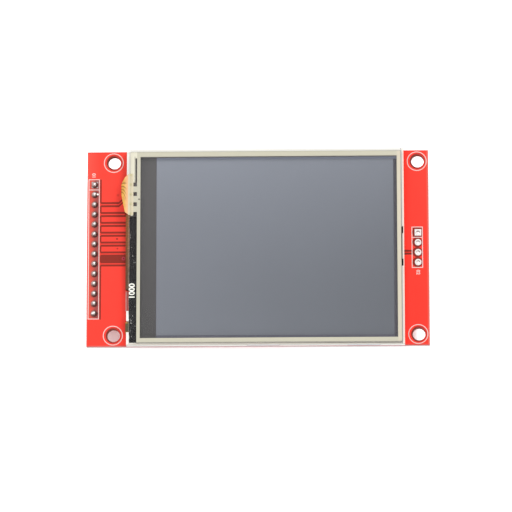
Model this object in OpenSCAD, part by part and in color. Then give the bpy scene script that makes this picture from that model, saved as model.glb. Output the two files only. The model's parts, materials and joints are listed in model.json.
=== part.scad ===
// TFT display module: a colour liquid-crystal panel with a resistive touch screen, on a
// breakout board with a pin header and a memory-card socket.
// X runs along the board, Y across it and Z out of the screen. The origin is the centre of
// the four mounting holes, on the board's front face. Lengths are in millimetres.

/* [Circuit board] */
// Thickness of the board
board_t = 1.6; // [1:0.1:2]
// Diameter of a mounting hole
hole_d = 3.2; // [2.6:0.1:3.6]
// From the left edge to the left holes' centres
hole_left = 6.85; // [6.4:0.05:7.2]
// From the right edge to the right holes' centres
hole_right = 2.7; // [2.6:0.05:3.4]
// From the long edges to the holes' centres
hole_edge = 2.85; // [2.7:0.05:3.4]
// Width of the white ring printed around a hole
ring_gap = 0.8; // [0.5:0.05:0.9]
// Width of a printed line
legend_line = 0.2; // [0.15:0.01:0.3]
// How far the front print sits beside the holes, along the board
legend_shift = -0.2; // [-0.3:0.05:0.3]
// Thickness of the print
legend_t = 0.03; // [0.02:0.01:0.05]

/* [Pin header] */
// Number of pins in the main header
header_count = 14; // [8:1:16]
// Pitch of both headers
pitch = 2.54; // [2:0.01:2.54]
// From the left edge to the pins' centres
header_inset = 1.92; // [1.8:0.02:2.2]
// Width of a square pin
pin_w = 0.64; // [0.5:0.02:0.7]
// How far a pin stands out of the board's front
pin_tip = 1.05; // [0.9:0.05:1.5]
// How far a pin stands out of the plastic behind the board
pin_tail = 6; // [3:0.5:8]
// Height of the header's plastic
header_h = 2.54; // [2:0.02:3]
// Width of the header's plastic
header_w = 2.5; // [2.2:0.05:2.8]
// Notch between two sections of the plastic
header_notch = 0.4; // [0.2:0.05:0.6]
// Height of a solder joint over its pad
solder_h = 0.7; // [0.5:0.05:0.8]

/* [Plated holes] */
// Width of a plated pad
pad_d = 1.65; // [1.5:0.05:1.8]
// Bore of a plated hole
pad_bore = 1; // [0.96:0.02:1.1]
// Thickness of the plating
plate_t = 0.05; // [0.03:0.01:0.08]
// Number of holes in the empty header
spare_count = 4; // [2:1:6]
// From the right edge to the empty header's centres
spare_inset = 2.76; // [2.2:0.02:3]

/* [Display frame] */
// Length of the white frame
frame_w = 69.6; // [69:0.1:70]
// Width of the white frame
frame_h = 50; // [49.4:0.1:50]
// From the board's left edge to the frame
frame_left = 10.13; // [9.8:0.01:10.4]
// From the frame to the board's right edge
frame_right = 6.27; // [6:0.01:9]
// Width of the frame's left rail
rail_left = 1; // [0.8:0.05:1.1]
// Width of the frame's right rail
rail_right = 0.7; // [0.5:0.05:0.9]
// Width of the frame's long rails
rail_long = 0.65; // [0.5:0.05:0.8]
// Width of the step that carries the glass
ledge = 1.3; // [1:0.05:1.6]
// Width of the step on the tails' side
ledge_left = 1.25; // [1:0.05:1.4]
// Clearance around the parts in the frame
fit = 0.05; // [0.03:0.01:0.1]
// Thickness of the foam strips behind the display
foam_t = 0.4; // [0.3:0.05:0.8]
// Width of a foam strip
foam_w = 8; // [5:0.5:10]
// Thickness of the steel tray
tray_t = 0.2; // [0.15:0.01:0.3]
// Length of a tray tab at its root
tab_w = 8.6; // [6:0.1:10]
// Height of a tray tab over the tray's back
tab_h = 1.9; // [1.4:0.05:2.1]
// Diameter of the tabs' latch holes
latch_d = 0.7; // [0.5:0.05:0.9]

/* [Backlight] */
// Thickness of each optical sheet
sheet_t = 0.1; // [0.08:0.01:0.15]
// Thickness of the light guide
guide_t = 0.6; // [0.5:0.05:0.8]
// Number of lamps
lamp_count = 4; // [2:1:6]
// Length of a lamp
lamp_w = 3.8; // [3:0.1:4]
// Depth of a lamp
lamp_d = 0.8; // [0.6:0.05:1]
// Width of the lamp strip
lamp_strip_w = 1.6; // [1.4:0.05:2]
// Thickness of the black rim tape
rim_t = 0.05; // [0.03:0.01:0.1]

/* [Liquid-crystal cell] */
// Thickness of each glass
cell_t = 0.4; // [0.3:0.05:0.5]
// Thickness of each polariser
polar_t = 0.15; // [0.1:0.01:0.2]
// From the frame's left side to the picture area
active_left = 7.51; // [7:0.05:8]
// From the picture area to the frame's right side
active_right = 2.63; // [2.2:0.05:3]
// From the frame's lower side to the picture area
active_low = 2.35; // [2.2:0.05:2.8]
// From the picture area to the frame's upper side
active_top = 2.8; // [2.4:0.05:3]
// From the frame's left side to the upper glass
cover_left = 3; // [2.9:0.05:3.1]
// Width of the driver chip
driver_w = 0.8; // [0.5:0.05:0.8]
// Length of the driver chip
driver_l = 18; // [12:0.5:22]
// Thickness of the driver chip
driver_t = 0.3; // [0.2:0.05:0.35]

/* [Tails] */
// Thickness of a flexible tail
tail_t = 0.1; // [0.06:0.01:0.12]
// Width of the display's tail
display_tail_w = 19.2; // [14:0.2:22]
// From the frame's lower side to the middle of the display's tail
display_tail_rise = 23.8; // [23:0.1:25]
// Length of the display's tail on the board
display_tail_l = 9; // [6:0.5:12]
// Width of the backlight's tail
lamp_tail_w = 2.8; // [2:0.1:3]
// From the frame's lower side to the middle of the backlight's tail
lamp_tail_rise = 4.65; // [4.45:0.05:5.2]
// Width of the touch panel's tail at its bond
touch_tail_w = 10.6; // [9:0.1:11]
// Width of the touch panel's tail on the board
touch_tail_end_w = 2.1; // [1.6:0.1:3]
// From the frame's upper side to the touch panel's bond
touch_tail_drop = 6.5; // [6.2:0.1:8]
// From the bond's upper side to the narrow tail
touch_tail_step = 2.6; // [2:0.1:3]
// Length of the touch panel's tail on the board
touch_tail_l = 6; // [4:0.5:9]

/* [Touch panel] */
// From the frame's left side to the touch panel
touch_left = 1.02; // [0.9:0.02:1.2]
// From the touch panel to the frame's right side
touch_right = 0.71; // [0.5:0.01:0.9]
// From the frame's lower side to the touch panel
touch_low = 0.3; // [0.1:0.05:0.6]
// From the touch panel to the frame's upper side
touch_top = 0.95; // [0.6:0.05:1.2]
// Thickness of the adhesive under the touch panel
gasket_t = 0.15; // [0.1:0.05:0.3]
// How far the touch glass reaches past the film, at the left and at the top
glass_margin = 0.45; // [0.3:0.05:0.5]
// Thickness of the touch glass
touch_glass_t = 1; // [0.7:0.1:1.4]
// Thickness of the border between glass and film
border_t = 0.1; // [0.1:0.01:0.15]
// Thickness of the touch film
film_t = 0.2; // [0.15:0.01:0.3]
// Width of the border at the right
border_right = 1.02; // [0.8:0.02:1.2]
// Width of the border at the top
border_top_w = 1.25; // [1:0.05:1.5]
// Width of the border at the bottom
border_low_w = 1.15; // [1:0.05:1.5]
// Width of the border at the left
border_left = 0.85; // [0.7:0.05:1]
// Width of the contact band left of the border
band_w = 1.6; // [1.5:0.05:1.8]
// Side of a contact window in the band
window_w = 1; // [0.7:0.05:1.1]

/* [Card socket] */
// Width of the plastic rail at each side of the card
card_rail = 1.5; // [1.3:0.05:2]
// Depth of the socket
socket_d = 26.5; // [24:0.5:28]
// Height of the socket
socket_h = 2.8; // [2.7:0.05:3.2]
// From the board's right edge to the socket
socket_right = 7; // [6:0.5:9]
// From the board's lower edge to the socket's mouth
socket_setback = 1; // [0.8:0.1:1.5]
// Thickness of the socket's steel cover
cover_t = 0.2; // [0.15:0.01:0.25]
// Width of the card's way
card_w = 24.6; // [24.3:0.1:25]
// Thickness of the socket's plastic floor
floor_t = 0.4; // [0.35:0.05:0.6]
// Depth of the plastic's rear wall
rear_wall = 2; // [1.5:0.1:3]
// Number of card contacts
contact_count = 9; // [7:1:9]
// Pitch of the card contacts
contact_pitch = 2.5; // [2.3:0.05:2.5]
// Width of a contact
contact_w = 0.9; // [0.7:0.05:1]

/* [Chips] */
// Length of the touch controller's body
chip_l = 5; // [4.6:0.1:5.4]
// Width of the touch controller's body
chip_w = 4.4; // [4:0.1:5]
// Height of a chip's body over the board
chip_h = 1.1; // [0.9:0.05:1.3]
// Pitch of the touch controller's leads
lead_pitch = 0.65; // [0.5:0.01:0.65]
// Thickness of the leads
lead_t = 0.15; // [0.1:0.01:0.2]
// From the board's left edge to the touch controller
chip_inset = 18; // [14:0.5:24]
// From the middle of the board to the touch controller
chip_rise = 8; // [4:0.5:12]
// From the board's left edge to the regulator
regulator_inset = 15; // [13:0.5:16]
// From the regulator to the backlight's transistor
regulator_step = 7; // [5:0.5:9]
// From the board's lower edge to the regulator
regulator_rise = 12; // [11:0.5:14]
// From the board's left edge to the resistors beside the header
resistor_inset = 10; // [8:0.5:11]
// Step between two resistors
resistor_step = 3.2; // [3:0.1:4]
// Length of a resistor or capacitor
passive_l = 1.6; // [1.4:0.1:2]
// Width of a resistor or capacitor
passive_w = 0.8; // [0.6:0.05:1]

/* [Hidden] */
$fn = 48;
over = 0.01; // how far a cut runs past the face that it opens

PIN_NODES = [for (i = [1:header_count]) str("header_pin_", i < 10 ? "0" : "", i)];

// The board's size, edges and holes
board_w = frame_left + frame_w + frame_right;
board_h = frame_h;
hole_pitch_x = board_w - hole_left - hole_right;
hole_pitch_y = board_h - 2 * hole_edge;
left = -hole_pitch_x / 2 - hole_left;
right = left + board_w;

// The two headers
header_x = left + header_inset;
spare_x = right - spare_inset;
pad_outer = pad_bore + 2 * plate_t;

// The display's sides
disp_l = left + frame_left;
disp_r = disp_l + frame_w;
disp_lo = -frame_h / 2;
disp_hi = frame_h / 2;

// The pocket for the glass and the one for the light guide
cell_l = disp_l + rail_left;
cell_r = disp_r - rail_right;
cell_lo = disp_lo + rail_long;
cell_hi = disp_hi - rail_long;
well_l = cell_l + ledge_left;
well_r = cell_r - ledge;
well_lo = cell_lo + ledge;
well_hi = cell_hi - ledge;

// The display's layers, from the board up
foam_top = foam_t;
tray_top = foam_top + tray_t;
reflector_top = tray_top + sheet_t;
guide_top = reflector_top + guide_t;
diffuser_top = guide_top + sheet_t;
lower_prism_top = diffuser_top + sheet_t;
seat_top = lower_prism_top + sheet_t;
rim_top = seat_top + rim_t;
rear_polar_top = rim_top + polar_t;
lower_glass_top = rear_polar_top + cell_t;
upper_glass_top = lower_glass_top + cell_t;
frame_top = upper_glass_top + polar_t;
gasket_top = frame_top + gasket_t;
touch_glass_top = gasket_top + touch_glass_t;
border_top = touch_glass_top + border_t;
film_top = border_top + film_t;

// The picture area and the upper glass
active_l = disp_l + active_left;
active_r = disp_r - active_right;
active_lo = disp_lo + active_low;
active_hi = disp_hi - active_top;
cover_l = disp_l + cover_left;
polar_inset = 0.35;

// The tails across the board
display_tail_y = disp_lo + display_tail_rise;
lamp_tail_y = disp_lo + lamp_tail_rise;
touch_tail_top = disp_hi - touch_tail_drop;
touch_tail_end_top = touch_tail_top - touch_tail_step;

// The gaps in the left rail, for the tails
tail_gap_hi = touch_tail_top - 0.2;
tail_gap_lo = display_tail_y - 15.2;
lamp_gap_w = lamp_tail_w + 2 * fit;

// The recess in the right rail
recess_l = 10.1;
recess_lo = -recess_l / 2 - 0.2;
recess_hi = recess_lo + recess_l;
recess_w = rail_right * 0.35;
recess_wall = rail_right * 0.3;
recess_end = 1.8;
recess_depth = 0.3;

// The tray's tabs
tab_slope = 0.7;
tab_in = 10.17;
tab_step = 25.18;
tab_x = [disp_r - tab_in - tab_step, disp_r - tab_in];
latch_x = [-1.4, 1.4];

// The lamps and the strip over them
lamp_x = well_l + fit;
strip_r = well_l + lamp_strip_w;
lamp_step = (well_hi - well_lo) / lamp_count;

// The tails' bends: the centre line's radius and the centre
bond_w = 0.6;
display_tail_z = lower_glass_top + tail_t / 2;
display_bend_r = (display_tail_z - tail_t / 2) / 2;
display_bend_x = cell_l - 0.18;
lamp_tail_z = guide_top + tail_t / 2;
lamp_bend_r = (lamp_tail_z - tail_t / 2) / 2;
lamp_bend_x = disp_l + 0.35;
touch_tail_z = touch_glass_top + tail_t / 2;
touch_bend_r = (touch_tail_z - tail_t / 2) / 2;
touch_bend_x = disp_l + 0.55;

// The touch panel's sides and its clear window
panel_l = disp_l + touch_left;
panel_r = disp_r - touch_right;
panel_lo = disp_lo + touch_low;
panel_hi = disp_hi - touch_top;
panel_round = 0.35;
ring_l = panel_l + band_w;
clear_l = ring_l + border_left;
clear_r = panel_r - border_right;
clear_lo = panel_lo + border_low_w;
clear_hi = panel_hi - border_top_w;

// The touch panel's contact band: its lower end, and its windows' upper sides
band_end = touch_tail_top - touch_tail_w - 0.25;
window_y = [touch_tail_top - 2.3, touch_tail_top - 4.76, touch_tail_top - 7.38];
open_window_y = touch_tail_top - 9.85;
bond_reach = 0.7;

// The black tape beside the touch panel
tape_l = disp_l + 0.77;
tape_r = ring_l - fit;
tape_lo = disp_lo + 0.5;

// The card socket, from its mouth at the board's lower edge
base_w = card_w + 2 * card_rail;
socket_w = base_w + 2 * cover_t;
socket_x = right - socket_right - socket_w / 2;
socket_y = -board_h / 2 + socket_setback;
inner_h = socket_h - cover_t;
comb_d = 12;
contact_t = 0.2;
contact_rise = 1;
contact_tail = 1.4;
contact_root = 0.4;
contact_reach = 9.6;
contact_flat = 1.4;
contact_dip = 1.2;
comb_slot = contact_w + 0.3;
switch_y = socket_d * 0.55;
foot_w = 1.2;
foot_l = 1.8;
foot_inset = 2;
cover_inset = 0.3;
switch_pocket = 0.5;
tongue_l = 7;
tongue_w = 2.4;
tongue_slit = 0.5;
sight_w = 8;
sight_l = 3;
peep_d = 3;
peep_inset = 4.5;
side_slot_l = 3.5;

// The small parts behind the board, as [along the board, across the board]
chip_at = [left + chip_inset, chip_rise];
regulator_at = [left + regulator_inset, -board_h / 2 + regulator_rise];
transistor_at = regulator_at + [regulator_step, 0];
small_l = 2.9;
small_w = 1.3;
small_lead_x = 0.95;
small_lead_w = 0.4;
lead_w = 0.25;
lead_reach = 1;
lead_foot = 0.5;
standoff = 0.1;
body_slope = 0.15;
end_cap = 0.3;
resistor_h = 0.45;
capacitor_h = 0.8;
capacitor_drop = 3.6;
socket_row_y = socket_y + socket_d + 4;
land_gap = 0.4;
land_w = 1.2;
land_l = 1.6;
resistor_at = concat(
    [for (i = [-2:2]) [left + resistor_inset, i * resistor_step]],
    [for (i = [-2:3]) [socket_x + (i - 0.5) * resistor_step, socket_row_y]]);
capacitor_at = [
    regulator_at - [0, capacitor_drop], transistor_at - [0, capacitor_drop],
    chip_at + [chip_l / 2 + capacitor_drop, 2], chip_at + [chip_l / 2 + capacitor_drop, -2],
    [socket_x - 3.5 * resistor_step, socket_row_y]];

// Direction square to the line from a to b
function normal(a, b) = [a[1] - b[1], b[0] - a[0]] / norm(b - a);

// Sideways step at point i of a path, so that the strip keeps its thickness in its bends
function mitre(p, i) =
    i == 0 ? normal(p[0], p[1]) :
    i == len(p) - 1 ? normal(p[i - 1], p[i]) :
    let (a = normal(p[i - 1], p[i]), b = normal(p[i], p[i + 1])) (a + b) / (1 + a * b);

// Outline of a strip of thickness t along path p
function strip(p, t) = concat(
    [for (i = [0:len(p) - 1]) p[i] + mitre(p, i) * t / 2],
    [for (i = [len(p) - 1:-1:0]) p[i] - mitre(p, i) * t / 2]);

// A box between two opposite corners
module box(a, b) {
    translate(a) cube(b - a);
}

// A flat frame between two rectangles, each [x0, y0, x1, y1]
module ring_plate(outer, inner, z, t) {
    difference() {
        box([outer[0], outer[1], z], [outer[2], outer[3], z + t]);
        box([inner[0], inner[1], z - over], [inner[2], inner[3], z + t + over]);
    }
}

// Puts a child at each mounting hole
module at_holes() {
    for (x = [-1, 1], y = [-1, 1])
        translate([x * hole_pitch_x / 2, y * hole_pitch_y / 2, 0]) children();
}

// Y of pin i of a header with n pins, counted down from the top
function row_y(i, n) = ((n - 1) / 2 - i) * pitch;

// Puts a child at each hole of a header
module at_row(x, n) {
    for (i = [0:n - 1]) translate([x, row_y(i, n), 0]) children();
}

// Turns a child over to the board's rear face, with Z away from the board
module on_rear() {
    translate([0, 0, -board_t]) mirror([0, 0, 1]) children();
}

// A strip's outline in Y and Z, drawn out along X
module drawn_x(outline, w) {
    rotate([90, 0, 90]) translate([0, 0, -w / 2]) linear_extrude(w) polygon(outline);
}

// A bent sheet: an arc of radius r about the Y axis, from angle a0 over a span
module bend(r, t, w, a0, span) {
    rotate([90, 0, 0]) rotate([0, 0, a0]) rotate_extrude(angle = span)
        translate([r - t / 2, -w / 2]) square([t, w]);
}

// ---- Board ----

module circuit_board() {
    color("#e8413a") difference() {
        box([left, -board_h / 2, -board_t], [right, board_h / 2, 0]);
        at_holes() translate([0, 0, -board_t - over]) cylinder(h = board_t + 2 * over, d = hole_d);
        at_row(header_x, header_count) plated_hole();
        at_row(spare_x, spare_count) plated_hole();
    }
}

module plated_hole() {
    translate([0, 0, -board_t - over]) cylinder(h = board_t + 2 * over, d = pad_outer);
}

// A printed outline from corner a to corner b
module printed_box(a, b) {
    ring_plate([a[0], a[1], b[0], b[1]],
        [a[0] + legend_line, a[1] + legend_line, b[0] - legend_line, b[1] - legend_line],
        0, legend_t);
}

// The printed box around a header, with a line under its first pin
module header_box(x, n) {
    w = pad_d / 2 + 0.39 + legend_line;
    y1 = row_y(0, n) + pitch / 2 + legend_line;
    y0 = row_y(n - 1, n) - pitch / 2 - legend_line;
    printed_box([x - w, y0], [x + w, y1]);
    box([x - w + legend_line, row_y(0.5, n) - legend_line / 2, 0],
        [x + w - legend_line, row_y(0.5, n) + legend_line / 2, legend_t]);
}

module front_legend() {
    color("white") translate([legend_shift, 0, 0]) {
        at_holes() difference() {
            cylinder(h = legend_t, d = hole_d + 2 * ring_gap + legend_line);
            translate([0, 0, -over])
                cylinder(h = legend_t + 2 * over, d = hole_d + 2 * ring_gap - legend_line);
        }
        header_box(header_x, header_count);
        header_box(spare_x, spare_count);
    }
}

module rear_legend() {
    half = [passive_l / 2 + 0.4, passive_w / 2 + 0.4];
    header_half = header_w / 2 + 0.3 + legend_line;
    header_l = header_count * pitch + 0.6;
    color("white") on_rear() {
        for (p = concat(resistor_at, capacitor_at)) printed_box(p - half, p + half);
        translate([chip_at[0] - chip_l / 2 - 1, chip_at[1] - chip_w / 2, 0])
            cylinder(h = legend_t, d = 0.6);
        printed_box([header_x - header_half, -header_l / 2], [header_x + header_half, header_l / 2]);
    }
}

// A plated hole's lining with a pad on both faces
module eyelet(square_pad) {
    module pad(z) {
        if (square_pad)
            translate([-pad_d / 2, -pad_d / 2, z]) cube([pad_d, pad_d, plate_t]);
        else
            translate([0, 0, z]) cylinder(h = plate_t, d = pad_d);
    }
    difference() {
        union() {
            pad(0);
            pad(-board_t - plate_t);
            translate([0, 0, -board_t]) cylinder(h = board_t, d = pad_outer);
        }
        translate([0, 0, -board_t - 1]) cylinder(h = board_t + 2, d = pad_bore);
    }
}

module eyelet_row(x, n) {
    color("#d8d4ce") for (i = [0:n - 1]) translate([x, row_y(i, n), 0]) eyelet(i == 0);
}

module header_pads() {
    eyelet_row(header_x, header_count);
}

module spare_pads() {
    eyelet_row(spare_x, spare_count);
}

// ---- Header ----

housing_top = -board_t - plate_t;

// The housing's outline: a strip with a notch between two pins on both sides
module housing_outline(n) {
    side = header_w / 2;
    edge = [for (i = [0:n - 1]) each [
        [side - header_notch, row_y(i - 0.5, n)],
        [side, row_y(i - 0.5, n) - header_notch],
        [side, row_y(i + 0.5, n) + header_notch]]];
    last = [side - header_notch, row_y(n - 0.5, n)];
    half = concat(edge, [last]);
    polygon(concat(half, [for (i = [len(half) - 1:-1:0]) [-half[i][0], half[i][1]]]));
}

module header_housing() {
    color("#1c1c1e") translate([header_x, 0, housing_top - header_h]) difference() {
        linear_extrude(header_h) housing_outline(header_count);
        at_row(0, header_count)
            translate([-pin_w / 2, -pin_w / 2, -1]) cube([pin_w, pin_w, header_h + 2]);
    }
}

// A square pin with both ends tapered
module header_pin() {
    z0 = housing_top - header_h - pin_tail;
    z1 = pin_tip;
    taper = pin_w * 0.7;
    flat = pin_w * 0.25;
    profile = [[-flat, z0], [flat, z0], [pin_w / 2, z0 + taper], [pin_w / 2, z1 - taper / 3],
        [flat, z1], [-flat, z1], [-pin_w / 2, z1 - taper / 3], [-pin_w / 2, z0 + taper]];
    color("#c9a64a") intersection() {
        rotate([90, 0, 0]) linear_extrude(pin_w, center = true) polygon(profile);
        rotate([90, 0, 90]) linear_extrude(pin_w, center = true) polygon(profile);
    }
}

// Solder: a dome over the pad and the filling of the bore, around the pin
module header_solder() {
    base_r = pad_d / 2;
    ball_r = (base_r * base_r + solder_h * solder_h) / (2 * solder_h);
    color("#b9bbbf") at_row(header_x, header_count) difference() {
        union() {
            intersection() {
                translate([0, 0, plate_t + solder_h - ball_r]) sphere(r = ball_r);
                translate([0, 0, plate_t]) cylinder(h = solder_h + 1, r = base_r);
            }
            translate([0, 0, housing_top]) cylinder(h = board_t + 2 * plate_t, d = pad_bore);
        }
        translate([-pin_w / 2, -pin_w / 2, housing_top - 1])
            cube([pin_w, pin_w, board_t + solder_h + 3]);
    }
}

// ---- Display frame and tray ----

module foam_strips() {
    first = disp_l + display_tail_l + foam_w;
    step = (disp_r - foam_w - first) / 2;
    color("#3a3a3c") for (i = [0:2]) box(
        [first + i * step, well_lo, 0], [first + i * step + foam_w - 1, well_hi, foam_top]);
}

// The outline of a tray tab, wide at its root, as seen from outside
module tab_outline(grow) {
    polygon([[-tab_w / 2 - grow, 0], [tab_w / 2 + grow, 0],
        [tab_w / 2 - tab_slope + grow, tab_h + grow],
        [-tab_w / 2 + tab_slope - grow, tab_h + grow]]);
}

// Puts a child at each tab's root on both long sides, with Z into the frame
module at_tabs() {
    for (x = tab_x, side = [0, 1]) translate([x, 0, foam_top]) mirror([0, side, 0])
        translate([0, disp_lo, 0]) rotate([90, 0, 0]) mirror([0, 0, 1]) children();
}

module steel_tray() {
    color("#b7b9bc") union() {
        difference() {
            box([disp_l, disp_lo, foam_top], [disp_r, disp_hi, tray_top]);
            tail_gaps(foam_top - 1, tray_top + 1);
        }
        at_tabs() difference() {
            linear_extrude(tray_t) tab_outline(0);
            for (x = latch_x) translate([x, tab_h * 0.6, -1]) cylinder(h = 3, d = latch_d);
        }
    }
}

// The two gaps at the left, where the tails leave the display
module tail_gaps(z0, z1) {
    box([disp_l - 1, tail_gap_lo, z0], [cell_l, tail_gap_hi, z1]);
    box([disp_l - 1, lamp_tail_y - lamp_gap_w / 2, z0],
        [cell_l, lamp_tail_y + lamp_gap_w / 2, z1]);
}

module display_frame() {
    color("#f4f4f0") union() {
        difference() {
            box([disp_l, disp_lo, tray_top], [disp_r, disp_hi, frame_top]);
            box([cell_l, cell_lo, seat_top], [cell_r, cell_hi, frame_top + 1]);
            box([well_l, well_lo, tray_top - 1], [well_r, well_hi, frame_top]);
            tail_gaps(tray_top - 1, frame_top + 1);
            box([cell_l - over, lamp_tail_y - lamp_gap_w / 2, guide_top],
                [well_l + over, lamp_tail_y + lamp_gap_w / 2, seat_top + over]);
            recess(frame_top - recess_depth, frame_top + 1);
            at_tabs() translate([0, 0, -1]) linear_extrude(tray_t + 1) tab_outline(fit);
        }
        at_tabs() for (x = latch_x)
            translate([x, tab_h * 0.6, tray_t * 0.5])
                cylinder(h = tray_t * 0.5 + over, d = latch_d - 2 * fit);
    }
}

// The recess along the right rail, wider at both ends
module recess(z0, z1, gap = 0) {
    x = cell_r + gap;
    box([x, recess_lo + gap, z0], [cell_r + recess_w - gap, recess_hi - gap, z1]);
    for (y = [recess_lo, recess_hi - recess_end]) box([x, y + gap, z0],
        [disp_r - recess_wall - gap, y + recess_end - gap, z1]);
}

module side_tape() {
    z = frame_top - recess_depth;
    color("#1b1b1d") recess(z, z + gasket_t, fit);
}

// ---- Backlight ----

module reflector_sheet() {
    color("white") box([well_l + fit, well_lo + fit, tray_top],
        [well_r - fit, well_hi - fit, reflector_top]);
}

module light_guide() {
    color("#dfeaf0") box([lamp_x + lamp_d, well_lo + fit, reflector_top],
        [well_r - fit, well_hi - fit, guide_top]);
}

// An optical sheet beside the lamp strip, from height z
module optical_sheet(z) {
    box([strip_r + fit, well_lo + fit, z], [well_r - fit, well_hi - fit, z + sheet_t]);
}

module diffuser_sheet() {
    color("#f2f5f7") optical_sheet(guide_top);
}

module lower_prism_sheet() {
    color("#dde6ea") optical_sheet(diffuser_top);
}

module upper_prism_sheet() {
    color("#dde6ea") optical_sheet(lower_prism_top);
}

module lamps() {
    eye = 0.1;
    color("#f3edd2") for (i = [0:lamp_count - 1])
        translate([lamp_x, well_lo + (i + 0.5) * lamp_step - lamp_w / 2, reflector_top])
            difference() {
                cube([lamp_d, lamp_w, guide_t]);
                translate([lamp_d - eye, 0.3, eye]) cube([1, lamp_w - 0.6, guide_t - 2 * eye]);
            }
}

// The strip over the lamps, and its tail down to the board
module lamp_flex() {
    color("#c98b3a") {
        box([lamp_x, well_lo + fit, guide_top], [strip_r, well_hi - fit, guide_top + tail_t]);
        tail(lamp_x, lamp_bend_x, lamp_bend_r, lamp_tail_y, lamp_tail_w, cell_l + 1);
    }
}

// A tail that runs left from x_in, bends down about x_bend and ends on the board at x_out
module tail(x_in, x_bend, r, y, w, x_out) {
    z_top = 2 * r;
    box([x_bend, y - w / 2, z_top], [x_in + over, y + w / 2, z_top + tail_t]);
    translate([x_bend, y, r + tail_t / 2]) bend(r, tail_t, w, 90, 180);
    box([x_bend, y - w / 2, 0], [x_out, y + w / 2, tail_t]);
}

// ---- Liquid-crystal cell ----

module rim_tape() {
    margin = 0.6;
    color("#151516") ring_plate(
        [cell_l + fit, cell_lo + fit, cell_r - fit, cell_hi - fit],
        [active_l - margin, active_lo - margin, active_r + margin, active_hi + margin],
        seat_top, rim_t);
}

module polariser(z) {
    box([cover_l + polar_inset, cell_lo + fit + polar_inset, z],
        [cell_r - fit - polar_inset, cell_hi - fit - polar_inset, z + polar_t]);
}

module rear_polariser() {
    color("#5a5f66") polariser(rim_top);
}

module front_polariser() {
    color("#878d98") polariser(upper_glass_top);
}

module lower_glass() {
    color("#6f7780") box([cell_l + fit, cell_lo + fit, rear_polar_top],
        [cell_r - fit, cell_hi - fit, lower_glass_top]);
}

module upper_glass() {
    color("#737b84") box([cover_l, cell_lo + fit, lower_glass_top],
        [cell_r - fit, cell_hi - fit, upper_glass_top]);
}

module driver_chip() {
    x1 = cover_l - 3 * fit;
    color("#2b2d30") box([x1 - driver_w, display_tail_y - driver_l / 2, lower_glass_top],
        [x1, display_tail_y + driver_l / 2, lower_glass_top + driver_t]);
}

module display_flex() {
    color("#a8682a") tail(cell_l + fit + bond_w, display_bend_x, display_bend_r,
        display_tail_y, display_tail_w, display_bend_x + display_tail_l);
}

// ---- Touch panel ----

module shield_tape() {
    color("#2a2a2c") box([tape_l, tape_lo, frame_top], [tape_r, band_end, gasket_top]);
}

// The touch film's outline at height z, with rounded corners
module panel_plate(z, t) {
    r = panel_round;
    box([panel_l + r, panel_lo, z], [panel_r - r, panel_hi, z + t]);
    box([panel_l, panel_lo + r, z], [panel_r, panel_hi - r, z + t]);
    for (x = [panel_l + r, panel_r - r], y = [panel_lo + r, panel_hi - r])
        translate([x, y, z]) cylinder(h = t, r = r);
}

// The cream border's outline at height z: a ring, with the contact band at the upper left
module border_plate(z, t) {
    difference() {
        panel_plate(z, t);
        box([clear_l, clear_lo, z - over], [clear_r, clear_hi, z + t + over]);
        box([panel_l - 1, panel_lo - 1, z - over], [ring_l, band_end, z + t + over]);
    }
}

module touch_gasket() {
    color("#e9e6d8") border_plate(frame_top, gasket_t);
}

module touch_glass() {
    color("#cfd8d6") box([panel_l - glass_margin, panel_lo, gasket_top],
        [panel_r, panel_hi + glass_margin, touch_glass_top]);
}

module touch_film() {
    color("#d9dfdc") union() panel_plate(border_top, film_t);
}

module touch_border() {
    slot_w = 0.42;
    color("#d8d5c4") difference() {
        border_plate(touch_glass_top, border_t);
        box([ring_l - slot_w, window_y[0], touch_glass_top - 1],
            [ring_l, panel_hi - 1.6, border_top + 1]);
        for (y = window_y) box([ring_l - window_w, y - window_w, touch_glass_top - 1],
            [ring_l, y, border_top + 1]);
        box([ring_l - window_w, band_end - 1, touch_glass_top - 1],
            [ring_l, open_window_y, border_top + 1]);
        box([panel_l - 1, touch_tail_top - touch_tail_w, touch_glass_top - 1],
            [panel_l + bond_reach, touch_tail_top, border_top + 1]);
    }
}

// The touch panel's tail: a wide bond that narrows over the upper half of its bend
module touch_flex() {
    lo = touch_tail_top - touch_tail_w;
    end_lo = touch_tail_end_top - touch_tail_end_w;
    end_y = touch_tail_end_top - touch_tail_end_w / 2;
    mid_y = touch_tail_top - touch_tail_w / 2;
    x_out = touch_bend_x - touch_bend_r - tail_t;
    color("#e8b04e") {
        box([touch_bend_x, lo, touch_glass_top],
            [panel_l + bond_reach, touch_tail_top, touch_glass_top + tail_t]);
        intersection() {
            translate([touch_bend_x, mid_y, touch_bend_r + tail_t / 2])
                bend(touch_bend_r, tail_t, touch_tail_w, 90, 90);
            linear_extrude(touch_glass_top + 1) polygon([
                [touch_bend_x + over, touch_tail_top], [touch_bend_x + over, lo],
                [touch_bend_x - touch_bend_r / 2, lo + 0.8],
                [x_out, end_lo], [x_out, touch_tail_end_top],
                [touch_bend_x - touch_bend_r / 2, touch_tail_top - 0.9]]);
        }
        translate([touch_bend_x, end_y, touch_bend_r + tail_t / 2])
            bend(touch_bend_r, tail_t, touch_tail_end_w, 180, 90);
        box([touch_bend_x, end_lo, 0],
            [touch_bend_x + touch_tail_l, touch_tail_end_top, tail_t]);
    }
}

// ---- Card socket ----

// Puts a child at the socket's mouth on the board's rear, with Y into the socket
module at_socket() {
    on_rear() translate([socket_x, socket_y, 0]) children();
}

// Puts a child at each card contact
module at_contacts() {
    for (i = [0:contact_count - 1])
        translate([(i - (contact_count - 1) / 2) * contact_pitch, 0, 0]) children();
}

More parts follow.
